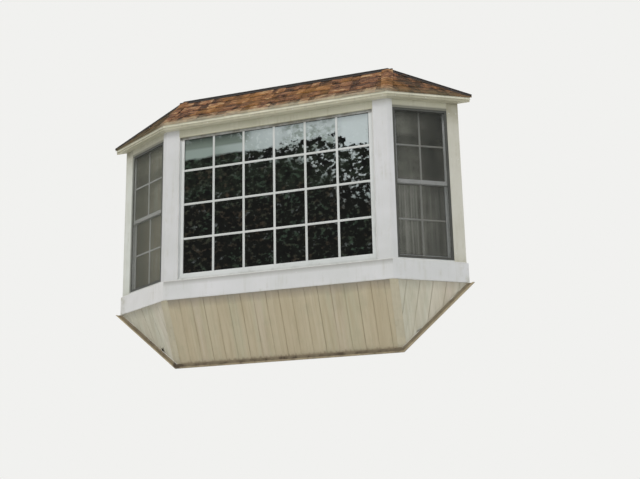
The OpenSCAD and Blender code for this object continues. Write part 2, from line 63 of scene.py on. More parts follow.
def onSide(hand, q, d, z):
    # hand 0 is the front, 1 the right flank, -1 the left: q runs along the side, d inward, z up
    # flank: x = hand (frontHalf + q cos a - d sin a), y = -projection + q sin a + d cos a
    q, d, z = np.broadcast_arrays(q, d, z)
    if hand == 0:
        return np.stack([q, d - bay["projection"], z], -1)
    x = bay["frontHalf"] + q * cosT - d * sinT
    return np.stack([hand * x, q * sinT + d * cosT - bay["projection"], z], -1)


def planLimits(hand, d, corner, top):
    # least and greatest q at depth d: the hip line from corner to top in plan, and the wall y = 0
    # front: x = corner x + (y - corner y) (top x - corner x) / (top y - corner y)
    if hand == 0:
        run = (d - bay["projection"] - corner[1]) / (top[1] - corner[1])
        x = corner[0] + run * (top[0] - corner[0])
        return -x, x
    ends = [((x - bay["frontHalf"]) * cosT + (y + bay["projection"]) * sinT,
             -(x - bay["frontHalf"]) * sinT + (y + bay["projection"]) * cosT) for x, y in (corner, top)]
    (q0, d0), (q1, d1) = ends
    return q0 + (d - d0) * (q1 - q0) / (d1 - d0), (bay["projection"] - d * cosT) / sinT


def cellCorners(grid):
    # the four point numbers round every cell of a grid of points (u, v, xyz)
    nu, nv = grid.shape[:2]
    ids = np.arange(nu * nv).reshape(nu, nv)
    return ids[:-1, :-1], ids[1:, :-1], ids[1:, 1:], ids[:-1, 1:]


def openSheet(grid, flip=False):
    faces = np.stack(cellCorners(grid), -1).reshape(-1, 4)
    return grid.reshape(-1, 3), (faces[:, ::-1] if flip else faces)


def closedSheet(front, back, keep, flip=False):
    # front and back are two such grids; keep marks the cells that stay
    # faces = kept cells of both grids, and a rim quad wherever a kept cell has no kept neighbour
    a, b, c, d = cellCorners(front)
    size = front[..., 0].size
    ring = np.pad(keep, 1)
    rims = []
    for p, q, beside in ((a, b, ring[1:-1, :-2]), (b, c, ring[2:, 1:-1]),
                         (c, d, ring[1:-1, 2:]), (d, a, ring[:-2, 1:-1])):
        edge = keep & ~beside
        rims.append(np.stack([q[edge], p[edge], p[edge] + size, q[edge] + size], 1))
    faces = np.concatenate([np.stack([a, b, c, d], -1)[keep],
                            np.stack([a, d, c, b], -1)[keep] + size] + rims)
    points = np.concatenate([front.reshape(-1, 3), back.reshape(-1, 3)])
    used, faces = np.unique(faces, return_inverse=True)
    faces = faces.reshape(-1, 4)
    return points[used], (faces[:, ::-1] if flip else faces), used % size


def slopeSheet(hand, q, d, layers, corner, top, flip):
    # closed sheet between two layers (depth, z), cut at the hip line and at the wall; d decides
    # which cells stay
    least, most = planLimits(hand, d, corner, top)
    past = (q[:-1, None] >= most[:-1]) | (q[1:, None] <= least[1:])
    grids = []
    for depth, z in layers:
        least, most = planLimits(hand, depth, corner, top)
        grids.append(onSide(hand, np.clip(q[:, None], least, most), depth, z))
        grids[-1][..., 1] = np.minimum(grids[-1][..., 1], 0)
    return closedSheet(*grids, ~(past[:, :-1] & past[:, 1:]), flip)


def joined(parts):
    # several (points, faces) as one: face numbers are moved on by the points before them
    points, faces, start = [], [], 0
    for part in parts:
        points.append(part[0])
        faces.append(np.asarray(part[1]) + start)
        start += len(part[0])
    return np.concatenate(points), np.concatenate(faces)


def addObject(name, data):
    thing = bpy.data.objects.new(name, data)
    scene.collection.objects.link(thing)
    return thing


weldWithin, sharpFrom = 2e-6, math.radians(35)


def addPiece(name, shape, material):
    # one object at the origin from whole arrays: points, faces and, for some, named floats per point
    points, faces, attributes = (*shape, {})[:3]
    mesh = bpy.data.meshes.new(name)
    mesh.from_pydata(np.asarray(points, float), [], np.asarray(faces).tolist())
    for key, values in attributes.items():
        layer = mesh.attributes.new(key, "FLOAT", "POINT")
        layer.data.foreach_set("value", np.asarray(values, np.float32))
    cleaner = bmesh.new()
    cleaner.from_mesh(mesh)
    bmesh.ops.remove_doubles(cleaner, verts=cleaner.verts, dist=weldWithin)
    bmesh.ops.dissolve_degenerate(cleaner, edges=cleaner.edges, dist=weldWithin)
    cleaner.to_mesh(mesh)
    cleaner.free()
    mesh.polygons.foreach_set("use_smooth", np.ones(len(mesh.polygons), bool))
    mesh.set_sharp_from_angle(angle=sharpFrom)
    mesh.materials.append(material)
    piece = addObject(name, mesh)
    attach(piece, "root")
    return piece


def linearColour(hexColour):
    # sRGB hex to linear RGBA: c / 12.92 below 0.04045, else ((c + 0.055) / 1.055) ^ 2.4
    c = np.array([int(hexColour[i:i + 2], 16) for i in (1, 3, 5)]) / 255
    return [*np.where(c <= 0.04045, c / 12.92, ((c + 0.055) / 1.055) ** 2.4).tolist(), 1.0]


class Value:
    # one output of a node, which can go on into further nodes
    def __init__(self, tree, socket):
        self.tree, self.socket = tree, socket

    def into(self, kind, *others, **settings):
        # a new node of that kind; its inputs, in their order, are this value and the others
        return addNode(self.tree, kind, dict(enumerate((self, *others))), **settings)


def layered(colour, *layers):
    # tints laid over a colour one after the other, each with its share
    for tint, share in layers:
        colour = addNode(share.tree, "Mix", {0: share, 6: colour, 7: tint}, 2, data_type="RGBA")
    return colour


def addNode(tree, kind, inputs=None, which=0, stops=(), **settings):
    # one shader node of any kind with its settings and links, given back as the output that is asked for;
    # an input is a number, a hex colour or another node's value
    node = tree.nodes.new("ShaderNode" + kind)
    for key, value in settings.items():
        setattr(node, key, value)
    for index, (place, colour) in enumerate(stops):
        element = node.color_ramp.elements[index] if index < 2 else node.color_ramp.elements.new(place)
        element.position, element.color = place, linearColour(colour)
    for key, value in (inputs or {}).items():
        if isinstance(value, Value):
            tree.links.new(value.socket, node.inputs[key])
        else:
            node.inputs[key].default_value = linearColour(value) if isinstance(value, str) else value
    if node.outputs:
        return Value(tree, node.outputs[which])


class Finish:
    # a material under way, with the object coordinates whole and as x, y and z
    def __init__(self, name):
        self.material = bpy.data.materials.new(name)
        self.material.use_nodes = True
        self.tree = self.material.node_tree
        self.tree.nodes.clear()
        self.place = self.add("TexCoord", None, "Object")
        self.x, self.y, self.z = (self.add("SeparateXYZ", {0: self.place}, axis) for axis in range(3))

    def add(self, *words, **settings):
        return addNode(self.tree, *words, **settings)

    def noise(self, sizeMm, detail=3.0, rough=0.55, stretch=(1, 1, 1), place=None):
        # blobs of a real size: 1000 / sizeMm of them to the metre; stretch divides that size along each axis
        spread = self.add("Mapping", {"Vector": place or self.place, "Scale": stretch})
        return self.add("TexNoise", {"Vector": spread, "Scale": 1000 / sizeMm, "Detail": detail,
                                     "Roughness": rough}, "Fac")

    def done(self, inputs):
        self.add("OutputMaterial", {0: self.add("BsdfPrincipled", inputs)})
        return self.material


def coatedFinish(name, look):
    # paint, vinyl or coil coat: base colour, a soft tone drift, rain streaks, soiling and painted shade at
    # levels, painted light and shade in strips, fine grain; dirtAndShade = streak x blotch, plus blotch x
    # height share for each level, held at 0.95
    m = Finish(name)
    first, second = look["tints"]
    dirtAndShadeTint, dirtAmount = look["dirtAndShade"]
    drift = m.noise(look.get("driftMm", 420)).into("MapRange", 0.35, 0.65)
    rain = m.noise(look.get("streakMm", 22), 4, stretch=(1, 1, 0.06))
    streak = rain.into("MapRange", 0.5, 0.78, 0, dirtAmount)
    blotch = m.noise(look.get("blotchMm", 90), 5, 0.65).into("MapRange", 0.42, 0.7)
    dirtAndShade = streak.into("Math", blotch, operation="MULTIPLY")
    for clean, dirty, amount in look.get("levels", ()):
        patchy = blotch.into("MapRange", 0, 1, 0.35 * amount, amount)
        dirtAndShade = m.z.into("MapRange", clean, dirty).into("Math", patchy, dirtAndShade, operation="MULTIPLY_ADD")
    if "wallDirt" in look:  # low down beside the wall
        near = m.y.into("MapRange", -0.055, -0.004)
        low = m.z.into("MapRange", 0.22, 0.16, 0, look["wallDirt"]).into("Math", near, operation="MULTIPLY")
        dirtAndShade = low.into("Math", blotch, dirtAndShade, operation="MULTIPLY_ADD")
    if "legShadeAndDirt" in look:  # painted shade and soiling on the leg that lies against the wall, inside the channel
        leg = m.y.into("MapRange", -0.014, -0.006, 0, look["legShadeAndDirt"])
        dirtAndShade = leg.into("Math", blotch.into("MapRange", 0, 1, 0.7, 1), dirtAndShade, operation="MULTIPLY_ADD")
    if "spot" in look:
        *centre, radius = look["spot"]
        away = m.place.into("VectorMath", centre, which="Value", operation="DISTANCE")
        dirtAndShade = away.into("MapRange", radius, radius * 0.4).into("Math", dirtAndShade, operation="ADD")
    lightAndShadeBands = [(tint, getattr(m, axis).into("MapRange", low, high, 0, amount))
             for axis, low, high, amount, tint in look.get("lightAndShadeBands", ())]
    held = dirtAndShade.into("Math", 0.95, operation="MINIMUM")
    sizeMm, strength, run = (*look["grain"], (1, 1, 1))[:3]
    grain = m.add("Bump", {"Height": m.noise(sizeMm, 4, stretch=run), "Strength": strength,
                           "Distance": 0.0006})
    wave = m.add("Bump", {"Height": m.noise(look.get("waveMm", 260), 1), "Strength": look.get("wave", 0.1),
                          "Distance": 0.004, "Normal": grain})
    return m.done({
        "Base Color": layered(first, (second, drift), (dirtAndShadeTint, held), *lightAndShadeBands),
        "Roughness": blotch.into("MapRange", 0, 1, look["rough"], look["rough"] + 0.16),
        "Metallic": look.get("metallic", 0.0), "IOR": look.get("ior", 1.5), "Normal": wave})


# Boards wrapped in white aluminium coil and painted: satin, with faint rain streaks; darker just under the
# eave as painted shade with some soiling, and darker along the lowest edge. In each look: both tints, the
# tint of soiling and painted shade with the streaks' amount, the grain's size in mm, strength and run, levels
# (clean height, dirty height, amount) and light and shade strips (axis, from, to, amount, tint)
boardLook = {
    "tints": ("#C2C2C3", "#B9BAB9"), "dirtAndShade": ("#97957F", 0.5), "rough": 0.42,
    "grain": (4, 0.1, (1, 1, 0.08)), "wave": 0.16,
    "levels": [(1.545, 1.60, 0.35), (0.012, -0.004, 0.5)], "wallDirt": 0.7}
paintedBoards = coatedFinish("white satin house paint", boardLook)
# The sills are painted a shade lighter than the posts of the same paint: painted light
sillLook = {**boardLook, "tints": ("#C6C6C7", "#BDBEBD")}
sillPaint = coatedFinish("white satin house paint, sill", sillLook)
# The left sill painted lighter still: painted light
sillPaintLit = coatedFinish("white satin house paint, painted lighter", {
    **sillLook, "tints": ("#D0CFCF", "#C7C7C6")})
# The front sill carries a painted shadow line under the window's foot
sillPaintFront = coatedFinish("white satin house paint, painted shadow under the window", {
    **sillLook, "lightAndShadeBands": [("z", 0.120, 0.160, 0.65, "#85847E")]})
# Glazing bars a little greyer than the sash; on the right flank painted darker by the post and towards the
# wall as painted shade
barVinyl = coatedFinish("white vinyl glazing bar, painted shade", {
    "tints": ("#BDBFBD", "#B3B6B3"), "dirtAndShade": ("#7F7C70", 0.4), "rough": 0.34, "ior": 1.53,
    "grain": (2, 0.03), "wave": 0.03,
    "lightAndShadeBands": [("x", 1.05, 1.06, 0.25, "#7F7C70"), ("x", 1.10, 1.42, 0.6, "#7F7C70")]})
# The same paint next to the wall, gone cream; darker towards the top under the eave as painted shade, and
# darker at the foot
agedLook = {
    "tints": ("#C7CAC5", "#BEC0B8"), "dirtAndShade": ("#8B866E", 0.7), "rough": 0.46,
    "grain": (4, 0.12, (1, 1, 0.08)), "wave": 0.2,
    "levels": [(1.40, 1.60, 0.6), (1.12, 1.50, 0.3), (0.26, 0.17, 0.4)],
    "lightAndShadeBands": [("z", 1.34, 1.60, 0.6, "#7E7A66")]}
agedBoards = coatedFinish("white house paint gone cream", agedLook)
# The right casing painted darker: painted shade
agedBoardsShaded = coatedFinish("white house paint gone cream, painted shade", {
    **agedLook, "tints": ("#BCBBB1", "#B3B1A5")})
# Extruded rigid vinyl of frames, sashes and bars: smooth, a little glossier and cooler; a painted shadow at
# the window's foot and painted shade under its head
whiteVinyl = coatedFinish("extruded white vinyl", {
    "tints": ("#C9CBCA", "#BFC2C0"), "dirtAndShade": ("#7F7C70", 0.35), "rough": 0.3, "ior": 1.53,
    "grain": (2, 0.03), "wave": 0.04, "levels": [(0.205, 0.19, 0.35), (1.496, 1.512, 1.2)]})
# Frieze boards in the shade of the eave: chalky white gone cream, with algae spots; a painted shadow at the
# foot
friezeLook = {
    "tints": ("#ADAB99", "#A4A28E"), "dirtAndShade": ("#79745F", 0.6), "rough": 0.55,
    "driftMm": 300, "grain": (4, 0.14, (0.15, 1, 1)), "wave": 0.2}
friezePaint = coatedFinish("chalked cream paint", {**friezeLook, "levels": [(1.538, 1.530, 0.4)]})
# On the flanks a deeper painted shadow at the foot, and painted shade deepening downwards
friezePaintFlank = coatedFinish("chalked cream paint, painted shadow at the foot", {
    **friezeLook, "lightAndShadeBands": [("z", 1.600, 1.550, 0.12, "#50514A"), ("z", 1.559, 1.546, 0.72, "#50514A")]})
# Eave boards wrapped in the same cream coil as the drip edge: a painted shadow on the fascia under the drip
# edge, and the soffit's underside painted lighter as painted light
eaveLook = {
    "tints": ("#CAC7B3", "#BFBDA8"), "dirtAndShade": ("#7C7660", 0.7), "rough": 0.45,
    "driftMm": 260, "grain": (3, 0.08, (0.15, 1, 1)), "wave": 0.25,
    "levels": [(1.629, 1.613, 0.3)],
    "lightAndShadeBands": [("z", 1.629, 1.614, 0.42, "#7C7660"), ("z", 1.6085, 1.604, 0.96, "#CECBB7")]}
eavePaint = coatedFinish("cream coil wrapped eave", eaveLook)
# The flanks' eave painted darker: painted shade
eavePaintFlank = coatedFinish("cream coil wrapped eave, painted shade", {
    **eaveLook, "tints": ("#BEBBA7", "#B1AF9A"), "dirtAndShade": ("#7C7660", 0.9), "lightAndShadeBands": [
        ("z", 1.629, 1.614, 0.42, "#7C7660"), ("z", 1.6085, 1.604, 0.55, "#CAC7B3")]})
# Baked enamel on aluminium coil: cream, slightly glossy, dulled by weather
creamCoil = coatedFinish("cream enamelled aluminium coil", {
    "tints": ("#D0CDBA", "#C5C3AF"), "dirtAndShade": ("#867D66", 0.5), "rough": 0.33,
    "driftMm": 160, "grain": (2, 0.04), "wave": 0.3, "waveMm": 120})
# The same coil in dark brown: matt, painted nearly black to take in the shadow gap along the wall, paler
# where weathered
brownCoil = coatedFinish("dark brown aluminium flashing", {
    "tints": ("#1C130E", "#120D0A"), "dirtAndShade": ("#3E2F24", 0.4), "rough": 0.55,
    "driftMm": 120, "grain": (3, 0.1), "wave": 0.4, "waveMm": 90})
# Trim channels in tan vinyl: matt, darker brown in the lowest run, and painted shade with soiling on the leg
# inside the channel
tanTrim = coatedFinish("weathered tan vinyl trim", {
    "tints": ("#A09377", "#8B7F66"), "dirtAndShade": ("#43382B", 0.7), "rough": 0.6, "legShadeAndDirt": 0.6,
    "driftMm": 110, "blotchMm": 60, "grain": (3, 0.14), "wave": 0.2,
    "levels": [(-0.500, -0.520, 0.4)], "spot": (-1.0, -0.01, -0.515, 0.05)})
# Folded corner trims of the skirt: the boards' own beige, chalked
beigeTrim = coatedFinish("chalked beige vinyl corner", {
    "tints": ("#B4AC95", "#AAA38E"), "dirtAndShade": ("#857B62", 0.6), "rough": 0.6,
    "driftMm": 130, "grain": (3, 0.12), "wave": 0.2, "levels": [(-0.478, -0.502, 0.5)]})
# Black butyl glazing seal: rubbery and dull
glazingSeal = coatedFinish("black butyl glazing seal", {
    "tints": ("#1B1C1B", "#262726"), "dirtAndShade": ("#5C5B52", 0.3), "rough": 0.6, "grain": (2, 0.1)})
# Grey anodised screen bar: fine drawn lines and a low metal sheen; the left frame's wall side painted pale,
# as painted light
screenBar = coatedFinish("grey coated aluminium bar", {
    "tints": ("#4A4B47", "#40413D"), "dirtAndShade": ("#6E6B5F", 0.5), "rough": 0.4, "metallic": 0.35,
    "grain": (2, 0.08, (1, 1, 0.05)), "lightAndShadeBands": [("x", -1.446, -1.468, 0.7, "#A1A49B")]})
# Galvanised nail and screw heads: dull zinc with white bloom
zincHead = coatedFinish("galvanised steel head", {
    "tints": ("#8F9290", "#7C7F7D"), "dirtAndShade": ("#5E4A36", 0.8), "rough": 0.45, "metallic": 0.8,
    "driftMm": 9, "blotchMm": 5, "streakMm": 6, "grain": (1, 0.2)})
# Nail heads that were painted over with the boards
paintedHead = coatedFinish("white painted nail head", {
    "tints": ("#CDCDCC", "#BDBDBA"), "dirtAndShade": ("#7E7663", 0.9), "rough": 0.45,
    "driftMm": 12, "blotchMm": 8, "grain": (1.5, 0.1)})
print("stage: coatings made")


wavePeriod = 100 * math.pi  # mm from crest to crest of a Wave texture at scale 1


def woodFinish(name, look):
    # rings stretched along the grain: wave bands bent by noise, pores as short dark dashes
    m = Finish(name)
    along = m.add("Mapping", {"Vector": m.place, "Scale": look["run"]})
    bend = m.add("TexNoise", {"Vector": along, "Scale": 1000 / look["bendMm"], "Detail": 3.0}, "Color")
    bent = m.add("Mix", {0: look["bend"], 4: along, 5: bend}, 1, data_type="VECTOR")
    rings = m.add("TexWave", {"Vector": bent, "Scale": wavePeriod / look["ringMm"], "Distortion": 2.5,
                              "Detail": 3.0, "Detail Scale": 1.4}, "Fac", bands_direction=look["across"])
    early, late = look["rings"]
    stain, amount = look["stain"]
    return m.done({
        "Base Color": layered(
            early, (late, rings.into("MapRange", 0.1, 0.95)),
            (look["pore"], m.noise(3.0, 2, place=along).into("MapRange", 0.58, 0.72, 0, 0.4)),
            (stain, m.noise(240, 4).into("MapRange", 0.45, 0.75, 0, amount))),
        "Roughness": look["rough"],
        "Normal": m.add("Bump", {"Height": rings, "Strength": look["grain"], "Distance": 0.0012})})


# Sawn spruce studs, grain along X: pale, with wide soft rings
spruceLook = {
    "run": (0.06, 1, 1), "bendMm": 166.67, "bend": 0.04, "ringMm": 12.083, "rings": ("#C9B08A", "#AD9066"),
    "pore": "#7A6244", "stain": ("#7F705C", 0.5), "rough": 0.75, "grain": 0.5, "across": "Z"}
spruceAlongX = woodFinish("sawn spruce along the wall", spruceLook)
# The same timber with its grain up the slope or down the rib
spruceAlongY = woodFinish("sawn spruce out from the wall", {
    **spruceLook, "run": (1, 0.09, 0.5), "ringMm": 13.09, "rings": ("#C6AD87", "#A88B62"),
    "pore": "#766041", "stain": ("#7B6C54", 0.55), "across": "X"})
# Rotary-cut plywood: broad wild figure, sanded
plywoodBoard = woodFinish("sanded rotary-cut plywood", {
    "run": (0.22, 1, 1), "bendMm": 454.5, "bend": 0.22, "ringMm": 44.88, "rings": ("#C8AF8B", "#B3976F"),
    "pore": "#80694C", "stain": ("#8F7F66", 0.3), "rough": 0.6, "grain": 0.22, "across": "DIAGONAL"})
print("stage: timbers made")


def glassFinish(name, look):
    # insulated glass before an unlit room: nearly black body, a painted reflection of sky above a ragged leaf
    # line, soft mottling with painted glints; line = height + (leaves - 0.5) x raggedness + drift
    m = Finish(name)
    lower, upper = look["mid"]
    pale, grey = look["sky"]
    leaves = m.noise(look["leafMm"], 7, 0.62, (1, 1, 1.25))
    drift = m.noise(look["driftMm"], 2, stretch=(1, 1, 1.8))
    mid = layered(lower, (upper, m.z.into("MapRange", 0.84, 0.96)))
    mottle = layered(look["deep"], (mid, leaves.into("MapRange", 0.40, 0.66)),
                     (pale, leaves.into("MapRange", 0.60, 0.70, 0, look["glints"])))
    # the leaf line drops at the right end
    height = m.x.into("MapRange", 0.58, 0.66, 0, look["eastDrop"]).into("Math", m.z, operation="ADD")
    sway = drift.into("MapRange", 0.3, 0.7, -0.02, 0.02)
    ragged = leaves.into("Math", 0.5, operation="SUBTRACT").into(
        "Math", m.x.into("MapRange", *look["rag"]), sway, operation="MULTIPLY_ADD")
    line = height.into("Math", ragged, operation="ADD")
    sky = line.into("MapRange", *look["skyLine"], 0, look["skyAmount"])
    east = m.x.into("MapRange", 0.0, -0.55)
    haze = drift.into("MapRange", 0.3, 0.7, -0.25, 0.25).into("Math", east, operation="ADD")
    tone = layered(pale, (grey, haze.into("MapRange", 0, 1)))
    if "open" in look:
        colour = openView(m, look["open"], leaves, mottle, tone, sky, pale)
    else:
        colour = foldedView(m, look["room"], layered(mottle, (tone, sky)))
    facing = m.add("SeparateXYZ", {0: m.add("NewGeometry", None, "Normal")}, 1)
    backs = facing.into("MapRange", 0.0, 0.2)  # plain and dark from the room side
    return m.done({
        "Base Color": layered(colour, ("#2B302C", backs)),
        "Roughness": 0.04, "IOR": 1.5, "Specular IOR Level": 0.04, "Transmission Weight": 0.15,
        "Normal": m.add("Bump", {"Height": m.noise(420, 1), "Strength": 0.05, "Distance": 0.004})})


def openView(m, look, leaves, mottle, tone, sky, skyTint):
    # painted reflection: shade over the sky at the left, a tree at the right, leaf colour in the dark part;
    # the height over which sky flecks show falls in three steps from left to right
    west, twigs, east = (m.x.into("MapRange", *look[key]) for key in ("shadeX", "twigsFrom", "twigsTo"))
    shade, deep = (m.z.into("MapRange", *look[key]).into("Math", west, operation="MULTIPLY")
                   for key in ("shadeZ", "deepZ"))
    crown = twigs.into("Math", east, operation="MULTIPLY").into(
        "Math", leaves.into("MapRange", 0.46, 0.60, 0.22, 0.85), operation="MULTIPLY")
    tone = layered(tone, (look["shade"], shade), (look["deepShade"], deep), (look["shade"], crown))
    specks = m.noise(look["speckMm"], 3, 0.6, (1, 1, 1.2))
    brown, green = look["leafTints"]
    tints = m.noise(look["leafTintMm"], 2, stretch=(1, 1, 1.4))
    leaf = layered(brown, (green, tints.into("MapRange", 0.42, 0.58)))
    over = m.z
    for fall in look["fleckFalls"]:
        over = over.into("Math", m.x.into("MapRange", *fall), operation="SUBTRACT")
    flecks = over.into("MapRange", 0.0, 0.2).into(
        "Math", specks.into("MapRange", 0.54, 0.64, 0, 0.8), operation="MULTIPLY")
    return layered(mottle, (leaf, specks.into("MapRange", 0.52, 0.70, 0, look["leafAmount"])), (tone, sky),
                   (skyTint, flecks))


def foldedView(m, look, colour):
    # painted view of the room: upright folds, clearer in the lower sash, painted shade beside them, a dark
    # streak across
    sashes, wallwards = (0.95, 0.75), (1.14, 1.34)  # heights from the upper sash to the lower one, and x
    folds = m.noise(look["foldMm"], 2, stretch=(1, 1, 0.02)).into("MapRange", 0.42, 0.62)
    beside = m.x.into("Math", operation="ABSOLUTE").into("MapRange", *wallwards)
    foot = m.z.into("MapRange", *look["streakFoot"])
    lit = m.z.into("MapRange", *sashes, *look["folds"]).into("Math", folds, operation="MULTIPLY")
    away = m.z.into("MapRange", *sashes, *look["wallShade"]).into("Math", beside, operation="MULTIPLY")
    streak = m.z.into("MapRange", *look["streakHead"], 0, look["streak"]).into(
        "Math", foot, operation="MULTIPLY")
    return layered(colour, (look["foldColour"], lit), (look["roomShadeTint"], away),
                   (look["streakColour"], streak))


# Big fixed pane: dark room behind, a painted reflection of open sky in its top quarter, leaves breaking the
# line at the right. The raggedness of that line runs from x to x with its amounts there; mid tones are for
# the lower and upper part
centrePane = glassFinish("insulated glass before a dark room", {
    "deep": "#020302", "mid": ("#0C0F0A", "#1D251B"), "sky": ("#AFB8B9", "#86938D"),
    "leafMm": 95, "driftMm": 700, "glints": 0.26, "rag": (-0.3, 0.75, 0.05, 0.9), "skyLine": (1.318, 1.342),
    "skyAmount": 0.95, "eastDrop": 0.11, "open": {
        "shade": "#6B766E", "shadeX": (-0.20, -0.30), "shadeZ": (1.398, 1.418), "deepShade": "#39423C",
        "deepZ": (1.43, 1.52), "twigsFrom": (0.0, 0.14), "twigsTo": (0.62, 0.52), "speckMm": 42,
        "leafTintMm": 210, "leafTints": ("#3C352B", "#37473A"), "leafAmount": 0.8,
        "fleckFalls": ((-0.34, -0.22, 1.45, 1.13), (0.2, 0.4, 0, -0.22), (0.5, 0.6, 0, -0.26))}})
# Flank panes: greyer, a painted view of the soft upright folds of what hangs in the room, painted shade by
# the wall and a faint painted reflection of sky
flankLook = {"leafMm": 160, "driftMm": 300, "glints": 0.1, "rag": (-1.4, 1.4, 0.5, 0.2),
             "skyLine": (1.36, 1.60), "eastDrop": 0.0}
roomLook = {"foldMm": 34, "streakFoot": (1.09, 1.17), "streakHead": (1.31, 1.27), "streakColour": "#10120E"}
leftPane = glassFinish("insulated glass before drawn folds", {
    **flankLook, "deep": "#8B8D7E", "mid": ("#A9AB9C", "#A9AB9C"), "sky": ("#AEB1A4", "#A0A395"),
    "skyAmount": 0.5, "room": {
        **roomLook, "folds": (0.4, 0.6), "foldColour": "#948873", "wallShade": (0.8, 0.8),
        "roomShadeTint": "#515247", "streak": 0.38}})
rightPane = glassFinish("insulated glass before folds in shade", {
    **flankLook, "deep": "#585951", "mid": ("#808177", "#808177"), "sky": ("#84857E", "#76776F"),
    "skyAmount": 0.4, "room": {
        **roomLook, "folds": (0.1, 0.8), "foldColour": "#ABACA3", "wallShade": (0.95, 0.6),
        "roomShadeTint": "#151613", "streak": 0.5}})


def screenClothFinish(name):
    # woven threads, open between them, with dust, the painted shadow of the window's head, and painted light
    # on the left flank's cloth
    m = Finish(name)
    threadMm = 4.1888  # real threads stand 1.4 mm apart; drawn three times as coarse, so that they can show
    across, upward = (m.add("TexWave", {"Vector": m.place, "Scale": wavePeriod / threadMm}, "Fac",
                            bands_direction=axis) for axis in ("X", "Z"))
    weave = across.into("Math", upward, operation="MAXIMUM")
    dust = m.noise(130, 4, stretch=(1, 1, 0.4))
    head = m.z.into("MapRange", 1.40, 1.52)
    veil = head.into("Math", 0.3, dust.into("MapRange", 0.3, 0.7, 0.18, 0.25), operation="MULTIPLY_ADD")
    return m.done({
        "Base Color": layered("#474844", ("#64655C", m.x.into("MapRange", 1.1, -1.1)),
                              ("#66665E", dust.into("MapRange", 0.35, 0.7, 0, 0.6)),
                              ("#1C1D19", head.into("Math", 0.78, operation="MULTIPLY"))),
        "Roughness": 0.75, "Specular IOR Level": 0.2,
        "Alpha": weave.into("Math", 0.06, veil, operation="MULTIPLY_ADD")})


screenCloth = screenClothFinish("vinyl coated glass fibre screen")


def shingleFinish(name, look):
    # asphalt mat with mineral granules: each tab has its own blend, speckled by single granules
    m = Finish(name)
    tone, lap = (m.add("Attribute", None, "Fac", attribute_name=key) for key in ("tone", "head"))
    patch, moss = m.noise(40, 4, 0.62, (0.6, 1, 1)), m.noise(210, 5, 0.65)
    granules = m.noise(7, 2, 0.7)  # real granules are 1.5 mm; drawn at 7 mm to show
    away = m.x.into("Math", operation="ABSOLUTE").into("MapRange", 1.0, 1.12)  # 0 in front, 1 on the flanks
    blend = tone.into("Math", 0.62, patch.into("MapRange", 0.38, 0.62, -0.24, 0.50), operation="MULTIPLY_ADD")
    damp = moss.into("MapRange", 0.36, 0.60, 0.1, 0.65).into(
        "Math", patch.into("MapRange", 0.35, 0.6), operation="MULTIPLY")
    lichen = m.z.into("MapRange", *look["lichenZ"]).into("Math", damp, operation="MULTIPLY")
    # painted shade with an algae tint on the flanks, most on the left
    algae = m.x.into("MapRange", 1.0, -1.0, 0.12, 0.6).into("Math", away, operation="MULTIPLY")
    # painted highlight on the lowest butt edge, weaker and darker on the flanks
    butt = m.z.into("MapRange", *look["buttZ"]).into(
        "Math", away.into("MapRange", 0, 1, 0.5, 0.2), operation="MULTIPLY")
    lichenTint, buttTint = (layered(look[key][0], (look[key][1], away)) for key in ("lichen", "buttEdge"))
    colour = layered(
        blend.into("ValToRGB", stops=look["blends"]),
        (look["ochre"], m.noise(330, 3, 0.6).into("MapRange", 0.50, 0.66, 0, 0.5)),
        (look["paleGrain"], granules.into("MapRange", 0.54, 0.72, 0, 0.5)),
        (look["darkGrain"], granules.into("MapRange", 0.46, 0.30, 0, 0.7)),
        (look["band"], lap.into("MapRange", 0.35, 0.85, 0, 0.75)),
        (look["moss"], moss.into("MapRange", 0.58, 0.76, 0, 0.4)),
        (look["algae"], algae), (lichenTint, lichen), (buttTint, butt))
    return m.done({
        "Base Color": colour, "Roughness": 0.9, "Specular IOR Level": 0.3,
        "Normal": m.add("Bump", {"Height": m.noise(3, 3, 0.7), "Strength": 0.8, "Distance": 0.0016})})


# Pairs are for the front slope and the flanks; the band is the dark one printed above each tab. The flanks
# are painted darker and more olive, most on the left: painted shade with an algae tint. The butt edge gets a
# painted highlight
asphaltShingle = shingleFinish("laminated asphalt shingle with mineral granules", {
    "blends": [(0.0, "#211710"), (1.0, "#AE936F"), (0.2, "#3D291F"), (0.42, "#5F4231"), (0.62, "#7B533C"),
               (0.82, "#8E6A4A")],
    "ochre": "#96682F", "paleGrain": "#B98F68", "darkGrain": "#1C130E", "band": "#1E1410", "moss": "#55503A",
    "algae": "#3D3A22", "lichen": ("#94937C", "#5C5439"), "lichenZ": (1.745, 1.69),
    "buttEdge": ("#ABA48F", "#736D5A"), "buttZ": (1.682, 1.668)})


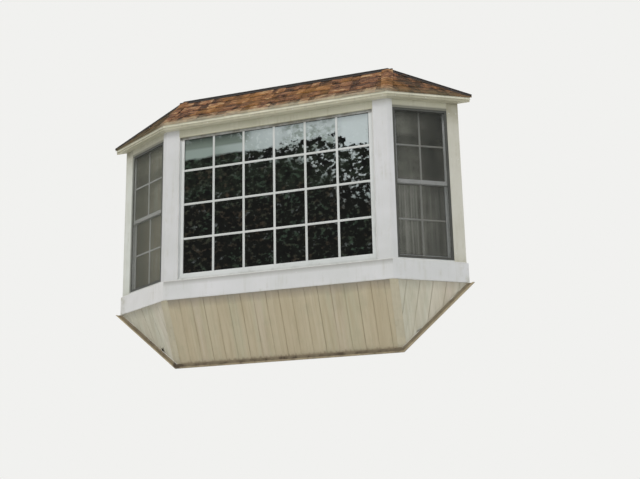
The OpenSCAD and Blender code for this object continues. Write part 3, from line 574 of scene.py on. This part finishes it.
def panelFinish(name, look):
    # ribbed vinyl board: every board slightly its own tint, chalky, streaked downhill, mud brown at its foot;
    # painted shade with soiling in its grooves, and a painted shadow under the sill band
    m = Finish(name)
    tone, groove = (m.add("Attribute", None, "Fac", attribute_name=key) for key in ("tone", "groove"))
    streak, blotch = m.noise(26, 4, 0.6, (1, 0.05, 0.05)), m.noise(110, 5, 0.65, (1, 0.5, 0.5))
    fading = m.noise(190, 3, 0.6, (1, 0.7, 0.7)).into("MapRange", 0.36, 0.64, 0.18, 0.56)
    foot = streak.into("MapRange", 0.3, 0.7, -0.016, 0.016).into("Math", m.z, operation="ADD")
    under = blotch.into("MapRange", 0.3, 0.7, -0.012, 0.012).into("Math", m.z, operation="ADD")
    colour = layered(
        tone.into("ValToRGB", stops=look["tints"]),
        (look["streakColour"], streak.into("MapRange", 0.40, 0.66, 0, 0.62)),
        (look["algae"], blotch.into("MapRange", 0.52, 0.78, 0, 0.38)),
        (look["mud"], foot.into("MapRange", look["mudTop"], look["mudFull"], 0, 0.6)),
        (look["grooveShadeAndGrime"], groove.into("Math", fading, operation="MULTIPLY")),
        ("#716C64", under.into("MapRange", -0.075, -0.008, 0, look["bandShadow"])))
    return m.done({
        "Base Color": colour, "Roughness": blotch.into("MapRange", 0.3, 0.7, 0.5, 0.68),
        "Normal": m.add("Bump", {"Height": m.noise(5, 4, stretch=(1, 0.1, 0.1)), "Strength": 0.16,
                                 "Distance": 0.0008})})


skirtVinyl = panelFinish("chalked beige beaded vinyl", {
    "tints": [(0.0, "#ADA187"), (1.0, "#B3A691"), (0.35, "#B1A68D"), (0.7, "#ABA48B")],
    "streakColour": "#A2967A", "algae": "#8F917A", "mud": "#63523C", "grooveShadeAndGrime": "#63583F",
    "mudTop": -0.488, "mudFull": -0.506, "bandShadow": 0.62})
# The flanks: paler and greener boards, partly their own tint and partly painted light, with less painted
# shadow under the sill band
skirtVinylPale = panelFinish("paler beige beaded vinyl", {
    "tints": [(0.0, "#B9B2A0"), (1.0, "#BFB4A4"), (0.35, "#B9B7A7"), (0.7, "#C0BCAC")],
    "streakColour": "#A9A38E", "algae": "#9F9F8B", "mud": "#6A5A44", "grooveShadeAndGrime": "#6C624C",
    "mudTop": -0.478, "mudFull": -0.504, "bandShadow": 0.35})
print("stage: glass, cloth, shingle and panel finishes made")

# CAD pieces that keep their own shape and only take a finish
dressed = (
    (spruceAlongX, "wall_ledger", "roof_ledger"), (spruceAlongY, "rafters", "skirt_ribs"),
    (plywoodBoard, "seat_board", "head_board", "roof_deck"),
    (agedBoards, "left_wall_jamb"), (agedBoardsShaded, "right_wall_jamb"),
    (paintedBoards, "left_corner_post", "right_corner_post"),
    (sillPaintFront, "sill_front"), (sillPaintLit, "sill_left"), (sillPaint, "sill_right"),
    (friezePaint, "frieze_front"), (friezePaintFlank, "frieze_left", "frieze_right"),
    (eavePaint, "eave_front"), (eavePaintFlank, "eave_left", "eave_right"),
    (whiteVinyl, "centre_frame", "centre_sash", "left_frame", "left_upper_sash", "left_lower_sash",
     "right_frame", "right_upper_sash", "right_lower_sash"),
    (centrePane, "centre_glass"), (leftPane, "left_glass"), (rightPane, "right_glass"),
    (screenBar, "left_screen_frame", "right_screen_frame"),
    (screenCloth, "left_screen_mesh", "right_screen_mesh"),
    (creamCoil, "drip_edge"), (brownCoil, "wall_flashing"), (beigeTrim, "skirt_corners"),
    (tanTrim, "skirt_channel"),
    (asphaltShingle, "shingles_front", "shingles_left", "shingles_right"),
    (skirtVinyl, "skirt_front"), (skirtVinylPale, "skirt_left", "skirt_right"),
)
for finish, *nodeNames in dressed:
    for nodeName in nodeNames:
        slots = nodes[nodeName].data.materials
        slots.clear()
        slots.append(finish)
print("stage:", sum(len(row) - 1 for row in dressed), "packed pieces dressed")

# Windows: depths of the outer and inner glass face, the glass in sight (q0, q1, z0, z1), panes across and up,
# and how far the bars run up behind the head
panes = {
    "centre": {"glass": (0.032, 0.042), "sight": (-0.8447, 0.8447, 0.238, 1.5137), "across": 6, "up": 4,
               "hidden": 0.022},
    "upper": {"glass": (0.023, 0.033), "sight": (0.07645, 0.49131, 0.885, 1.5077), "across": 2, "up": 2},
    "lower": {"glass": (0.046, 0.056), "sight": (0.07645, 0.49131, 0.228, 0.851), "across": 2, "up": 2},
}
windows = ((0, "centre", ("centre",)), (-1, "left", ("upper", "lower")), (1, "right", ("upper", "lower")))


def onBothFaces(hand, pane, q, z, rise, sunk, keep):
    # the same closed sheet on the outer and the inner face: from sunk in the glass to rise off it
    parts = []
    for face, way in zip(pane["glass"], (-1, 1)):
        front = onSide(hand, q[:, None], face + way * rise, z)
        back = onSide(hand, q[:, None], face - way * sunk, z)
        parts.append(closedSheet(front, back, keep, flip=(way > 0) != (hand < 0))[:2])
    return joined(parts)


# Window bars
bars = {
    "width": {"centre": 0.020, "flank": 0.0155},   # flat face and both bevels
    "edge": 0.0002, "bevel": 0.003,                 # width of the upright edge, and out to the flat face
    "rise": 0.0048,                                 # off the glass
    "shoulder": 0.0030,                             # height where the bevel starts
    "sunk": 0.0002,
}


def barLattice(hand, pane):
    # height off the glass = max(h(q - bar), h(z - bar)): h is 0 at the bar's edge, shoulder just inside it
    # and rise past the bevel
    def ruled(low, high, count, hidden=0.0):
        centres = low + (high + hidden - low) * np.arange(1, count) / count
        half, edge, bevel = bars["width"]["flank" if hand else "centre"] / 2, bars["edge"], bars["bevel"]
        offsets = [-half, edge - half, bevel - half, half - bevel, half - edge, half]
        heights = [0, bars["shoulder"], bars["rise"], bars["rise"], bars["shoulder"], 0]
        at = np.concatenate([[low], (centres[:, None] + offsets).ravel(), [high]])
        rise = np.concatenate([[0], np.tile(heights, count - 1), [0]])
        inBar = np.concatenate([[False], np.tile([True] * 5 + [False], count - 1)])
        return at, rise, inBar

    q, riseQ, barQ = ruled(*pane["sight"][:2], pane["across"])
    z, riseZ, barZ = ruled(*pane["sight"][2:], pane["up"], pane.get("hidden", 0.0))
    rise = np.maximum(riseQ[:, None], riseZ)
    return onBothFaces(hand, pane, q, z, rise, bars["sunk"], barQ[:, None] | barZ)


for hand, side, keys in windows:
    addPiece(side + "_bars", joined([barLattice(hand, panes[key]) for key in keys]),
             whiteVinyl if hand < 0 else barVinyl)
print("stage: window bars made")

# Glazing seals
seals = {"width": 0.005, "rise": 0.0016}


def sealRing(hand, pane):
    # flat strip round the glass in sight: kept cells are those of the outermost rows and columns
    width = seals["width"]
    q, z = (np.array([low, low + width, high - width, high])
            for low, high in (pane["sight"][:2], pane["sight"][2:]))
    keep = np.ones((3, 3), bool)
    keep[1, 1] = False
    return onBothFaces(hand, pane, q, z, seals["rise"], 0, keep)


for hand, side, keys in windows:
    addPiece(side + "_seals", joined([sealRing(hand, panes[key]) for key in keys]), glazingSeal)
print("stage: glazing seals made")

# Skirt boards
boards = {
    "pitch": 0.1127,        # 4.5 in boards, three to a panel
    "firstJoint": 0.030,    # on the front
    "grooveWidth": 0.007, "grooveDepth": 0.0045, "plainShare": 0.75,
    "beadWidth": 0.004, "beadDepth": 0.0007,    # fine groove down the middle of each board
    "thickness": 0.012,
    "rows": 16,
    "sag": 0.0006,          # boards ripple a little
    "reach": {"front": (-1.02, 1.02), "flank": (-0.01, 0.64)},
}


def skirtBoards(hand):
    # depth = lean s + t thick: s is the drop below the band, t the groove's depth or the board's thickness
    # groove profile = max over joints of grooveDepth (1 - |q - joint| / half width), shallower but for each
    # third joint
    corner = (bay["frontHalf"], -bay["projection"])
    foot = (bay["skirtFootHalf"], 0.0)
    lean = (bay["projection"] if hand == 0 else (wallHalf - bay["skirtFootHalf"]) * sinT) / bay["skirtDrop"]
    thick = math.sqrt(1 + lean * lean)
    low, high = boards["reach"]["flank" if hand else "front"]
    pitch, first = boards["pitch"], boards["firstJoint"] if hand == 0 else 0.0
    count = np.arange(math.ceil((low - first) / pitch), (high - first) / pitch)
    half, bead, middle = boards["grooveWidth"] / 2, boards["beadWidth"] / 2, pitch / 2
    ends = np.array([-half, 0, half, middle - bead, middle, middle + bead])
    joint = np.where(count % 3 == 0, 1, boards["plainShare"]) * boards["grooveDepth"]
    deep = joint[:, None] * np.array([0, 1, 0, 0, 0, 0]) + np.array([0, 0, 0, 0, boards["beadDepth"], 0])
    q = np.concatenate([[low], ((first + count * pitch)[:, None] + ends).ravel(), [high]])
    depth = np.concatenate([[0], deep.ravel(), [0]])
    board = np.floor((q - first + half * 1.01) / pitch)
    q, depth, board = q[q <= high], depth[q <= high], board[q <= high]
    s = np.linspace(0, bay["skirtDrop"], boards["rows"])
    ripple = boards["sag"] * np.sin(board[:, None] * 2.4 + s * 9) * (depth[:, None] == 0)
    d = lean * s + 0 * q[:, None]
    layers = [(d + t * thick, -s) for t in (depth[:, None] + ripple + boards["sag"], boards["thickness"])]
    points, faces, origin = slopeSheet(hand, q, d, layers, corner, foot, flip=hand >= 0)
    tones = np.random.default_rng(11 + hand).random(200)
    tone = np.repeat(tones[(board.astype(int) + 40) % 200], len(s))[origin]
    groove = np.repeat(depth / boards["grooveDepth"], len(s))[origin]
    return points, faces, {"tone": tone, "groove": groove}


for hand, side in sides:
    finish = skirtVinylPale if hand else skirtVinyl
    piece = addPiece("skirt_boards_" + side, skirtBoards(hand), finish)
    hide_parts("skirt_" + side)
print("stage: skirt boards made")

# Roof shingles
shingles = {
    "courses": 4, "butt": 0.010, "head": 0.004,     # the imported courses' own thicknesses
    "tabRise": 0.0034, "chamfer": 0.0008,           # upper layer of the laminate
    "lip": 0.003, "lipDrop": 0.0012,                # rounded front edge
    "underlap": 0.012, "tucked": 0.003, "underside": 0.0002,
    "tabWidth": (0.07, 0.19), "gapWidth": (0.03, 0.11), "ragged": 0.003,
    "flankShadeTone": 0.45,                              # the flanks painted darker: painted shade
    "reach": {"front": (-1.06, 1.06), "flank": (-0.06, 0.78)},
}
roofCorner = (bay["frontHalf"] + bay["deckEdge"] * math.tan(turn / 2), -bay["projection"] - bay["deckEdge"])
roofTop = (bay["roofTopHalf"], 0.0)


def roofSlope(hand):
    topDepth = bay["projection"] if hand == 0 else (wallHalf - bay["roofTopHalf"]) * sinT
    return topDepth, bay["roofRise"] / (topDepth + bay["deckEdge"])


def shingleCourses(hand):
    # z = eave + slope (d + deckEdge) + thickness sqrt(1 + slope^2); thickness falls from butt to head along a
    # course and steps up by tabRise on each tab
    topDepth, slope = roofSlope(hand)
    rise = math.sqrt(1 + slope * slope)
    step = (topDepth + bay["overhang"]) / shingles["courses"]
    random = np.random.default_rng(21 + hand)
    low, high = shingles["reach"]["flank" if hand else "front"]
    parts, tones, heads = [], [], []
    for course in range(shingles["courses"]):
        last = course == shingles["courses"] - 1
        runs = np.stack([random.uniform(*shingles[key], 40) for key in ("tabWidth", "gapWidth")], 1)
        edges = low - random.uniform(0, 0.15) + np.cumsum(runs.ravel()) - runs[0, 0]
        edges = edges[edges < high + 0.2]
        isTab = np.arange(len(edges) - 1) % 2 == 1
        tone = np.where(isTab, random.uniform(0.35, 1.0, len(isTab)), random.uniform(0.0, 0.4, len(isTab)))
        tone = tone * (shingles["flankShadeTone"] if hand else 1)
        sag = random.uniform(0, shingles["ragged"], len(isTab)) * np.where(isTab, 1, 0.3)
        q = np.stack([edges[:-1] + shingles["chamfer"], edges[1:] - shingles["chamfer"]], 1).ravel()
        tone, sag, lift = (np.repeat(v, 2) for v in (tone, sag, np.where(isTab, shingles["tabRise"], 0)))
        along = np.array([0, shingles["lip"], step * 0.35, step * 0.7, step, step + shingles["underlap"]])
        share = np.array([0.75, 1, 1, 1, 0.9, 0])  # how much of the tab's rise is there
        base = np.interp(along, [0, step], [shingles["butt"], shingles["head"]])
        base[0] -= shingles["lipDrop"]
        base[-1] = shingles["tucked"]
        if last:  # nothing laps over the top course
            along, share, base = along[:-1], share[:-1], base[:-1]
        d = course * step - bay["overhang"] + along + sag[:, None] * (along < 0.01)
        d = np.minimum(d, topDepth)
        deck = bay["eaveZ"] + slope * (d + bay["deckEdge"])
        layers = [(d, deck + t * rise) for t in (base + lift[:, None] * share, shingles["underside"])]
        points, faces, origin = slopeSheet(hand, q, d, layers, roofCorner, roofTop, flip=hand < 0)
        parts.append((points, faces))
        tones.append(np.repeat(tone, len(along))[origin])
        band = np.clip(along / step, 0, 1) ** 4 * (0 if last else 1)
        heads.append(np.tile(band, len(q))[origin])
    return *joined(parts), {"tone": np.concatenate(tones), "head": np.concatenate(heads)}


for hand, side in sides:
    piece = addPiece("shingle_courses_" + side, shingleCourses(hand), asphaltShingle)
    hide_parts("shingles_" + side)
print("stage: shingle courses made")

# Hip caps
caps = {
    "exposure": 0.115, "overlap": 0.02, "width": 0.052, "lift": 0.0128, "proud": 0.0052, "sheet": 0.003,
    "first": -0.010, "lip": 0.003, "lipDrop": 0.001, "edgeDrop": 0.0008,
}


def hipCaps(hand):
    # folded strip: z = deck height at the hip + thickness; across it, a < 0 runs level along the front's
    # slope and a > 0 level along the flank's, so the fold lies on the hip
    _, slope = roofSlope(0)
    start, end = np.array(roofCorner), np.array(roofTop)
    length = math.hypot(*(end - start), bay["roofRise"])
    random = np.random.default_rng(31)
    across = (np.array([-1, -0.94, -0.5, -0.06, 0, 0.06, 0.5, 0.94, 1]) * caps["width"])[:, None]
    out, onFront = np.abs(across), across < 0
    edge = np.where(out > 0.98 * caps["width"], -caps["edgeDrop"], 0)
    parts, tones = [], []
    for first in np.arange(caps["first"], length - 0.02, caps["exposure"]):
        along = np.array([first, first + caps["lip"], first + caps["exposure"] * 0.5,
                          min(first + caps["exposure"] + caps["overlap"], length - 0.002)])
        share = along / length
        plan = start + share[:, None] * (end - start)
        over = caps["lift"] + caps["proud"] * np.interp(along - first, [0, caps["exposure"]], [1, 0.15])
        over[0] -= caps["lipDrop"]
        grids = []
        for t in (over, over - caps["sheet"]):
            x = plan[:, 0] + np.where(onFront, -out, out * cosT)
            y = plan[:, 1] + np.where(onFront, 0, out * sinT)
            z = bay["eaveZ"] + bay["roofRise"] * share + (t + edge) * math.sqrt(1 + slope ** 2)
            grids.append(np.stack([hand * x, np.minimum(y, 0), z], -1))
        points, faces, _ = closedSheet(*grids, np.ones((len(across) - 1, 3), bool), flip=hand < 0)
        parts.append((points, faces))
        tones.append(np.full(len(points), random.uniform(0.3, 0.9)))
    return *joined(parts), {"tone": np.concatenate(tones)}


for hand, side in flanks:
    addPiece("hip_caps_" + side, hipCaps(hand), asphaltShingle)
print("stage: hip caps made")


def turned(reach, height, count, size, lift=0.0):
    # profile of reach and height, both as shares of the size, turned about z: x = r cos a, y = r sin a
    a = np.linspace(0, 2 * np.pi, count + 1)[:, None]
    r, h = np.asarray(reach, float), np.asarray(height, float)
    points, faces = openSheet(np.stack([r * np.cos(a), r * np.sin(a), h + 0 * a], -1))
    return points * [size[0], size[0], size[1]] + [0, 0, lift], faces


def setOut(shape, places, normal):
    # copies of a shape with its z along the normal: p = place + x t1 + y t2 + z n, all as one array
    n = np.asarray(normal, float) / np.linalg.norm(normal)
    t1 = np.cross(n, [0, 0, 1.0])
    t1 = t1 / np.linalg.norm(t1)
    axes = np.stack([t1, np.cross(n, t1), n])
    points, faces = shape
    spread = (points @ axes)[None] + np.asarray(places, float)[:, None]
    moved = faces[None] + (np.arange(len(places)) * len(points))[:, None, None]
    return spread.reshape(-1, 3), moved.reshape(-1, faces.shape[1])


def gridOf(hand, qs, d, zs):
    q, z = np.meshgrid(qs, zs)
    return onSide(hand, q.ravel(), d, z.ravel())


# Nail and screw heads; sizes are radius and height. The nails stand in rows: places along the side, depth and
# heights, first on the posts or casings, then on the sill band, then on the fascia
outward = {0: (0, -1, 0), 1: (sinT, -cosT, 0), -1: (-sinT, -cosT, 0)}
postRows, bandRows, fasciaRow = np.arange(0.25, 1.55, 0.42), [0.035, 0.135], [1.615]
heads = {
    "nail": (0.0035, 0.0009), "lag": (0.011, 0.007), "washer": (0.017, 0.0022),
    "front": (([-0.99, -0.905, 0.905, 0.99], 0, postRows), (np.linspace(-0.98, 0.98, 6), -0.008, bandRows),
              (np.linspace(-0.99, 0.99, 6), -0.052, fasciaRow)),
    "flank": (([0.55, 0.612], 0, postRows), ([0.06, 0.32, 0.58], -0.008, bandRows),
              ([0.06, 0.33, 0.60], -0.052, fasciaRow)),
    "ledgerFace": -0.038, "wallSpacing": 0.376, "wallZ": (-0.012, 0.085),
    "roofRow": (-0.609, -0.203, 0.203, 0.609), "roofZ": (1.90, 1.955),
}
nail = turned([0, 1, 1, 0.7, 0], [-0.6, -0.6, 0.35, 0.9, 1.0], 10, heads["nail"])
nails = [setOut(nail, gridOf(hand, qs, d, zs), outward[hand]) for hand in (0, -1, 1)
         for qs, d, zs in heads["flank" if hand else "front"]]
addPiece("trim_nails", joined(nails), paintedHead)

lag = turned([0, 1, 1, 0.86, 0], [0, 0, 0.8, 1, 1], 6, heads["lag"], heads["washer"][1])
washer = turned([0, 1, 1, 0.93, 0], [0, 0, 0.7, 1, 1], 20, heads["washer"])
rows = [(np.arange(-3, 4) * heads["wallSpacing"], z) for z in heads["wallZ"]]
rows += [(np.array(heads["roofRow"]), z) for z in heads["roofZ"]]
places = np.concatenate([np.stack([row, heads["ledgerFace"] + 0 * row, z + 0 * row], 1) for row, z in rows])
addPiece("ledger_screws", joined([setOut(shape, places, outward[0]) for shape in (lag, washer)]), zincHead)
print("stage: nail and screw heads made")

# Sash locks and lifts on the room side. Each lock is a base, a drum, a lever and a keeper: centre from the
# lock's own place, half sizes and roundness
fittings = {
    "lockAt": 0.284, "lockZ": 0.8885,
    "lock": (((0, 0.052, 0), (0.030, 0.009, 0.0042), 3.0),
             ((-0.004, 0.051, 0.006), (0.011, 0.008, 0.006), 3.0),
             ((0.018, 0.056, 0.0075), (0.019, 0.0042, 0.0028), 2.6),
             ((0, 0.0405, 0.001), (0.020, 0.0035, 0.006), 3.0)),
    "liftAt": (0.17, 0.398), "liftDepth": 0.0665, "liftZ": 0.203, "lift": (0.032, 0.006, 0.0032),
}


def pebble(hand, centre, half, power=3.0, nu=28, nv=15):
    # superellipsoid: each axis is half |cos|^(2/power) or |sin|^(2/power) of the two angles, with their signs
    def bent(v):
        return np.sign(v) * np.abs(v) ** (2 / power)

    a, b = np.linspace(-np.pi, np.pi, nu)[:, None], np.linspace(-np.pi / 2, np.pi / 2, nv)[None, :]
    q, d, z = bent(np.cos(a)) * bent(np.cos(b)), bent(np.sin(a)) * bent(np.cos(b)), bent(np.sin(b)) + 0 * a
    return openSheet(onSide(hand, centre[0] + half[0] * q, centre[1] + half[1] * d, centre[2] + half[2] * z),
                     flip=hand < 0)


for hand, side in flanks:
    parts = [pebble(hand, (fittings["lockAt"] + q, d, fittings["lockZ"] + z), half, power)
             for (q, d, z), half, power in fittings["lock"]]
    parts += [pebble(hand, (at, fittings["liftDepth"], fittings["liftZ"]), fittings["lift"])
              for at in fittings["liftAt"]]
    addPiece(side + "_sash_fittings", joined(parts), whiteVinyl)
print("stage: sash fittings made")

# Sealant beads: on the sill, as from and to along the side and the depth of the face that stands on it, and
# up both sides of the centre window
beads = {
    "radius": 0.0035, "arc": 6, "sunk": 0.0003, "sillZ": 0.172,
    "front": ((-0.887, 0.887, 0.002), (0.887, 1.012, 0), (-1.012, -0.887, 0)),
    "flank": ((0.0, 0.046, 0), (0.046, 0.530, 0.002), (0.530, 0.625, 0)),
    "uprightAt": ((-0.887, 1), (0.887, -1)), "uprightDepth": 0.0005, "uprightZ": (0.19, 1.53),
}


def sealantBead(start, end, normalA, normalB):
    # hollow fillet in the corner of two faces: p = line + r (a (1 - cos t) + b (1 - sin t)), t from 0 to 90
    # degrees, closed along the corner itself
    a, b = np.asarray(normalA, float), np.asarray(normalB, float)
    t = np.linspace(0, np.pi / 2, beads["arc"])
    bow = beads["radius"] * ((1 - np.cos(t))[:, None] * a + (1 - np.sin(t))[:, None] * b)
    line = np.stack([start, end])[:, None, :]
    grid = line + bow[None]
    back = line + 0 * bow[None] - beads["sunk"] * (a + b)
    points, faces, _ = closedSheet(grid, back, np.ones((1, beads["arc"] - 1), bool))
    side = np.dot(np.cross(end - start, grid[0, -1] - grid[0, 0]), a + b)
    return points, (faces[:, ::-1] if side < 0 else faces)


def sillBeads(hand):
    return [sealantBead(*(onSide(hand, q, d, beads["sillZ"]) for q in (low, high)), outward[hand], (0, 0, 1))
            for low, high, d in beads["flank" if hand else "front"]]


uprights = [sealantBead(*(onSide(0, q, beads["uprightDepth"], z) for z in beads["uprightZ"]), outward[0],
                        (way, 0, 0)) for q, way in beads["uprightAt"]]
sealant = coatedFinish("white paintable sealant", {
    "tints": ("#DEDDDA", "#D0CFC9"), "dirtAndShade": ("#8F8B7C", 0.5), "rough": 0.5,
    "driftMm": 60, "blotchMm": 25, "grain": (2, 0.1)})
addPiece("sealant_beads", joined(sillBeads(0) + uprights + sillBeads(-1) + sillBeads(1)), sealant)
print("stage: sealant made")

# Stage, light and camera
studio = {
    "floorZ": -3.9, "floorHalf": 40.0, "backdrop": "#F1F1EF", "floor": "#E9E9E7", "floorRough": 0.9,
    "floorGlow": 0.65, "ambient": 0.66, "sky": "#FFFFFF",
    "lamps": {
        "key": {"at": (-4.2, -6.8, 9.2), "size": 4.0, "power": 530, "tint": "#FFFDF8"},
        "fill": {"at": (7.0, -7.0, 3.5), "size": 6.0, "power": 250, "tint": "#F8FBFF"},
        "bounce": {"at": (0.0, -6.5, -3.6), "size": 7.0, "power": 70, "tint": "#FFFFFF"},
        "back": {"at": (0.5, 6.5, 3.5), "size": 5.0, "power": 330, "tint": "#FFFFFF"}},
    "aim": (0.0, -0.2, 0.7),
}
world = scene.world = bpy.data.worlds.new("pale studio")
world.use_nodes = True
tree = world.node_tree
tree.nodes.clear()
direct, glossy, through = (addNode(tree, "LightPath", None, "Is %s Ray" % kind)
                           for kind in ("Camera", "Glossy", "Transmission"))
ambient = addNode(tree, "Background", {"Color": studio["sky"], "Strength": studio["ambient"]})
pale = addNode(tree, "Background", {"Color": studio["backdrop"], "Strength": 1.0})
seen = direct.into("Math", glossy.into("Math", through, operation="MAXIMUM"), operation="MAXIMUM")
addNode(tree, "OutputWorld", {0: seen.into("MixShader", ambient, pale)})

for lampName, look in studio["lamps"].items():
    lamp = bpy.data.lights.new(lampName, "AREA")
    lamp.shape, lamp.size, lamp.energy = "DISK", look["size"], look["power"]
    lamp.color = linearColour(look["tint"])[:3]
    holder = addObject(lampName, lamp)
    holder.location = look["at"]
    holder.visible_glossy = False
    holder.rotation_mode = "QUATERNION"
    holder.rotation_quaternion = (Vector(studio["aim"]) - Vector(look["at"])).to_track_quat("-Z", "Y")

half = studio["floorHalf"]
floorMesh = bpy.data.meshes.new("floor")
corners = [(x * half, y * half, studio["floorZ"]) for x, y in ((-1, -1), (1, -1), (1, 1), (-1, 1))]
floorMesh.from_pydata(corners, [], [(0, 1, 2, 3)])
floorPaint = bpy.data.materials.new("pale studio floor")
floorPaint.use_nodes = True
tree = floorPaint.node_tree
tree.nodes.clear()
paint = addNode(tree, "BsdfPrincipled", {"Base Color": studio["floor"], "Roughness": studio["floorRough"]})
glow = addNode(tree, "Emission", {"Color": studio["backdrop"]})
direct = addNode(tree, "LightPath", None, "Is Camera Ray")
share = direct.into("Math", studio["floorGlow"], operation="MULTIPLY")
addNode(tree, "OutputMaterial", {0: share.into("MixShader", paint, glow)})
floorMesh.materials.append(floorPaint)
floor = addObject("floor", floorMesh)

# The camera stands low and to the right of the bay, turned left towards it; angles in radians
shot = {
    "at": (2.5874, -8.7928, -2.6273), "turnLeft": 0.3744, "tiltUp": 0.2699, "roll": 0.0121,
    "focalPx": 1091.2, "imagePx": 640, "shiftX": 0.20, "shiftY": 0.11, "sensorMm": 36.0,
}
camera = bpy.data.cameras.new("camera")
camera.sensor_fit, camera.sensor_width = "HORIZONTAL", shot["sensorMm"]
camera.lens = shot["focalPx"] / shot["imagePx"] * shot["sensorMm"]
camera.shift_x, camera.shift_y = shot["shiftX"], shot["shiftY"]
camera.clip_end = 200
viewer = addObject("camera", camera)
heading, tilt, roll = shot["turnLeft"], shot["tiltUp"], shot["roll"]
ahead = Vector((-math.sin(heading) * math.cos(tilt), math.cos(heading) * math.cos(tilt), math.sin(tilt)))
right = Vector((math.cos(heading), math.sin(heading), 0))
above = right.cross(ahead)
rolledRight = right * math.cos(roll) + above * math.sin(roll)
rolledUp = above * math.cos(roll) - right * math.sin(roll)
stance = Matrix((rolledRight, rolledUp, -ahead)).transposed().to_4x4()
viewer.matrix_world = Matrix.Translation(shot["at"]) @ stance
scene.camera = viewer
scene.view_settings.view_transform = "Standard"
print("stage: studio and camera set")

print("stage: done")
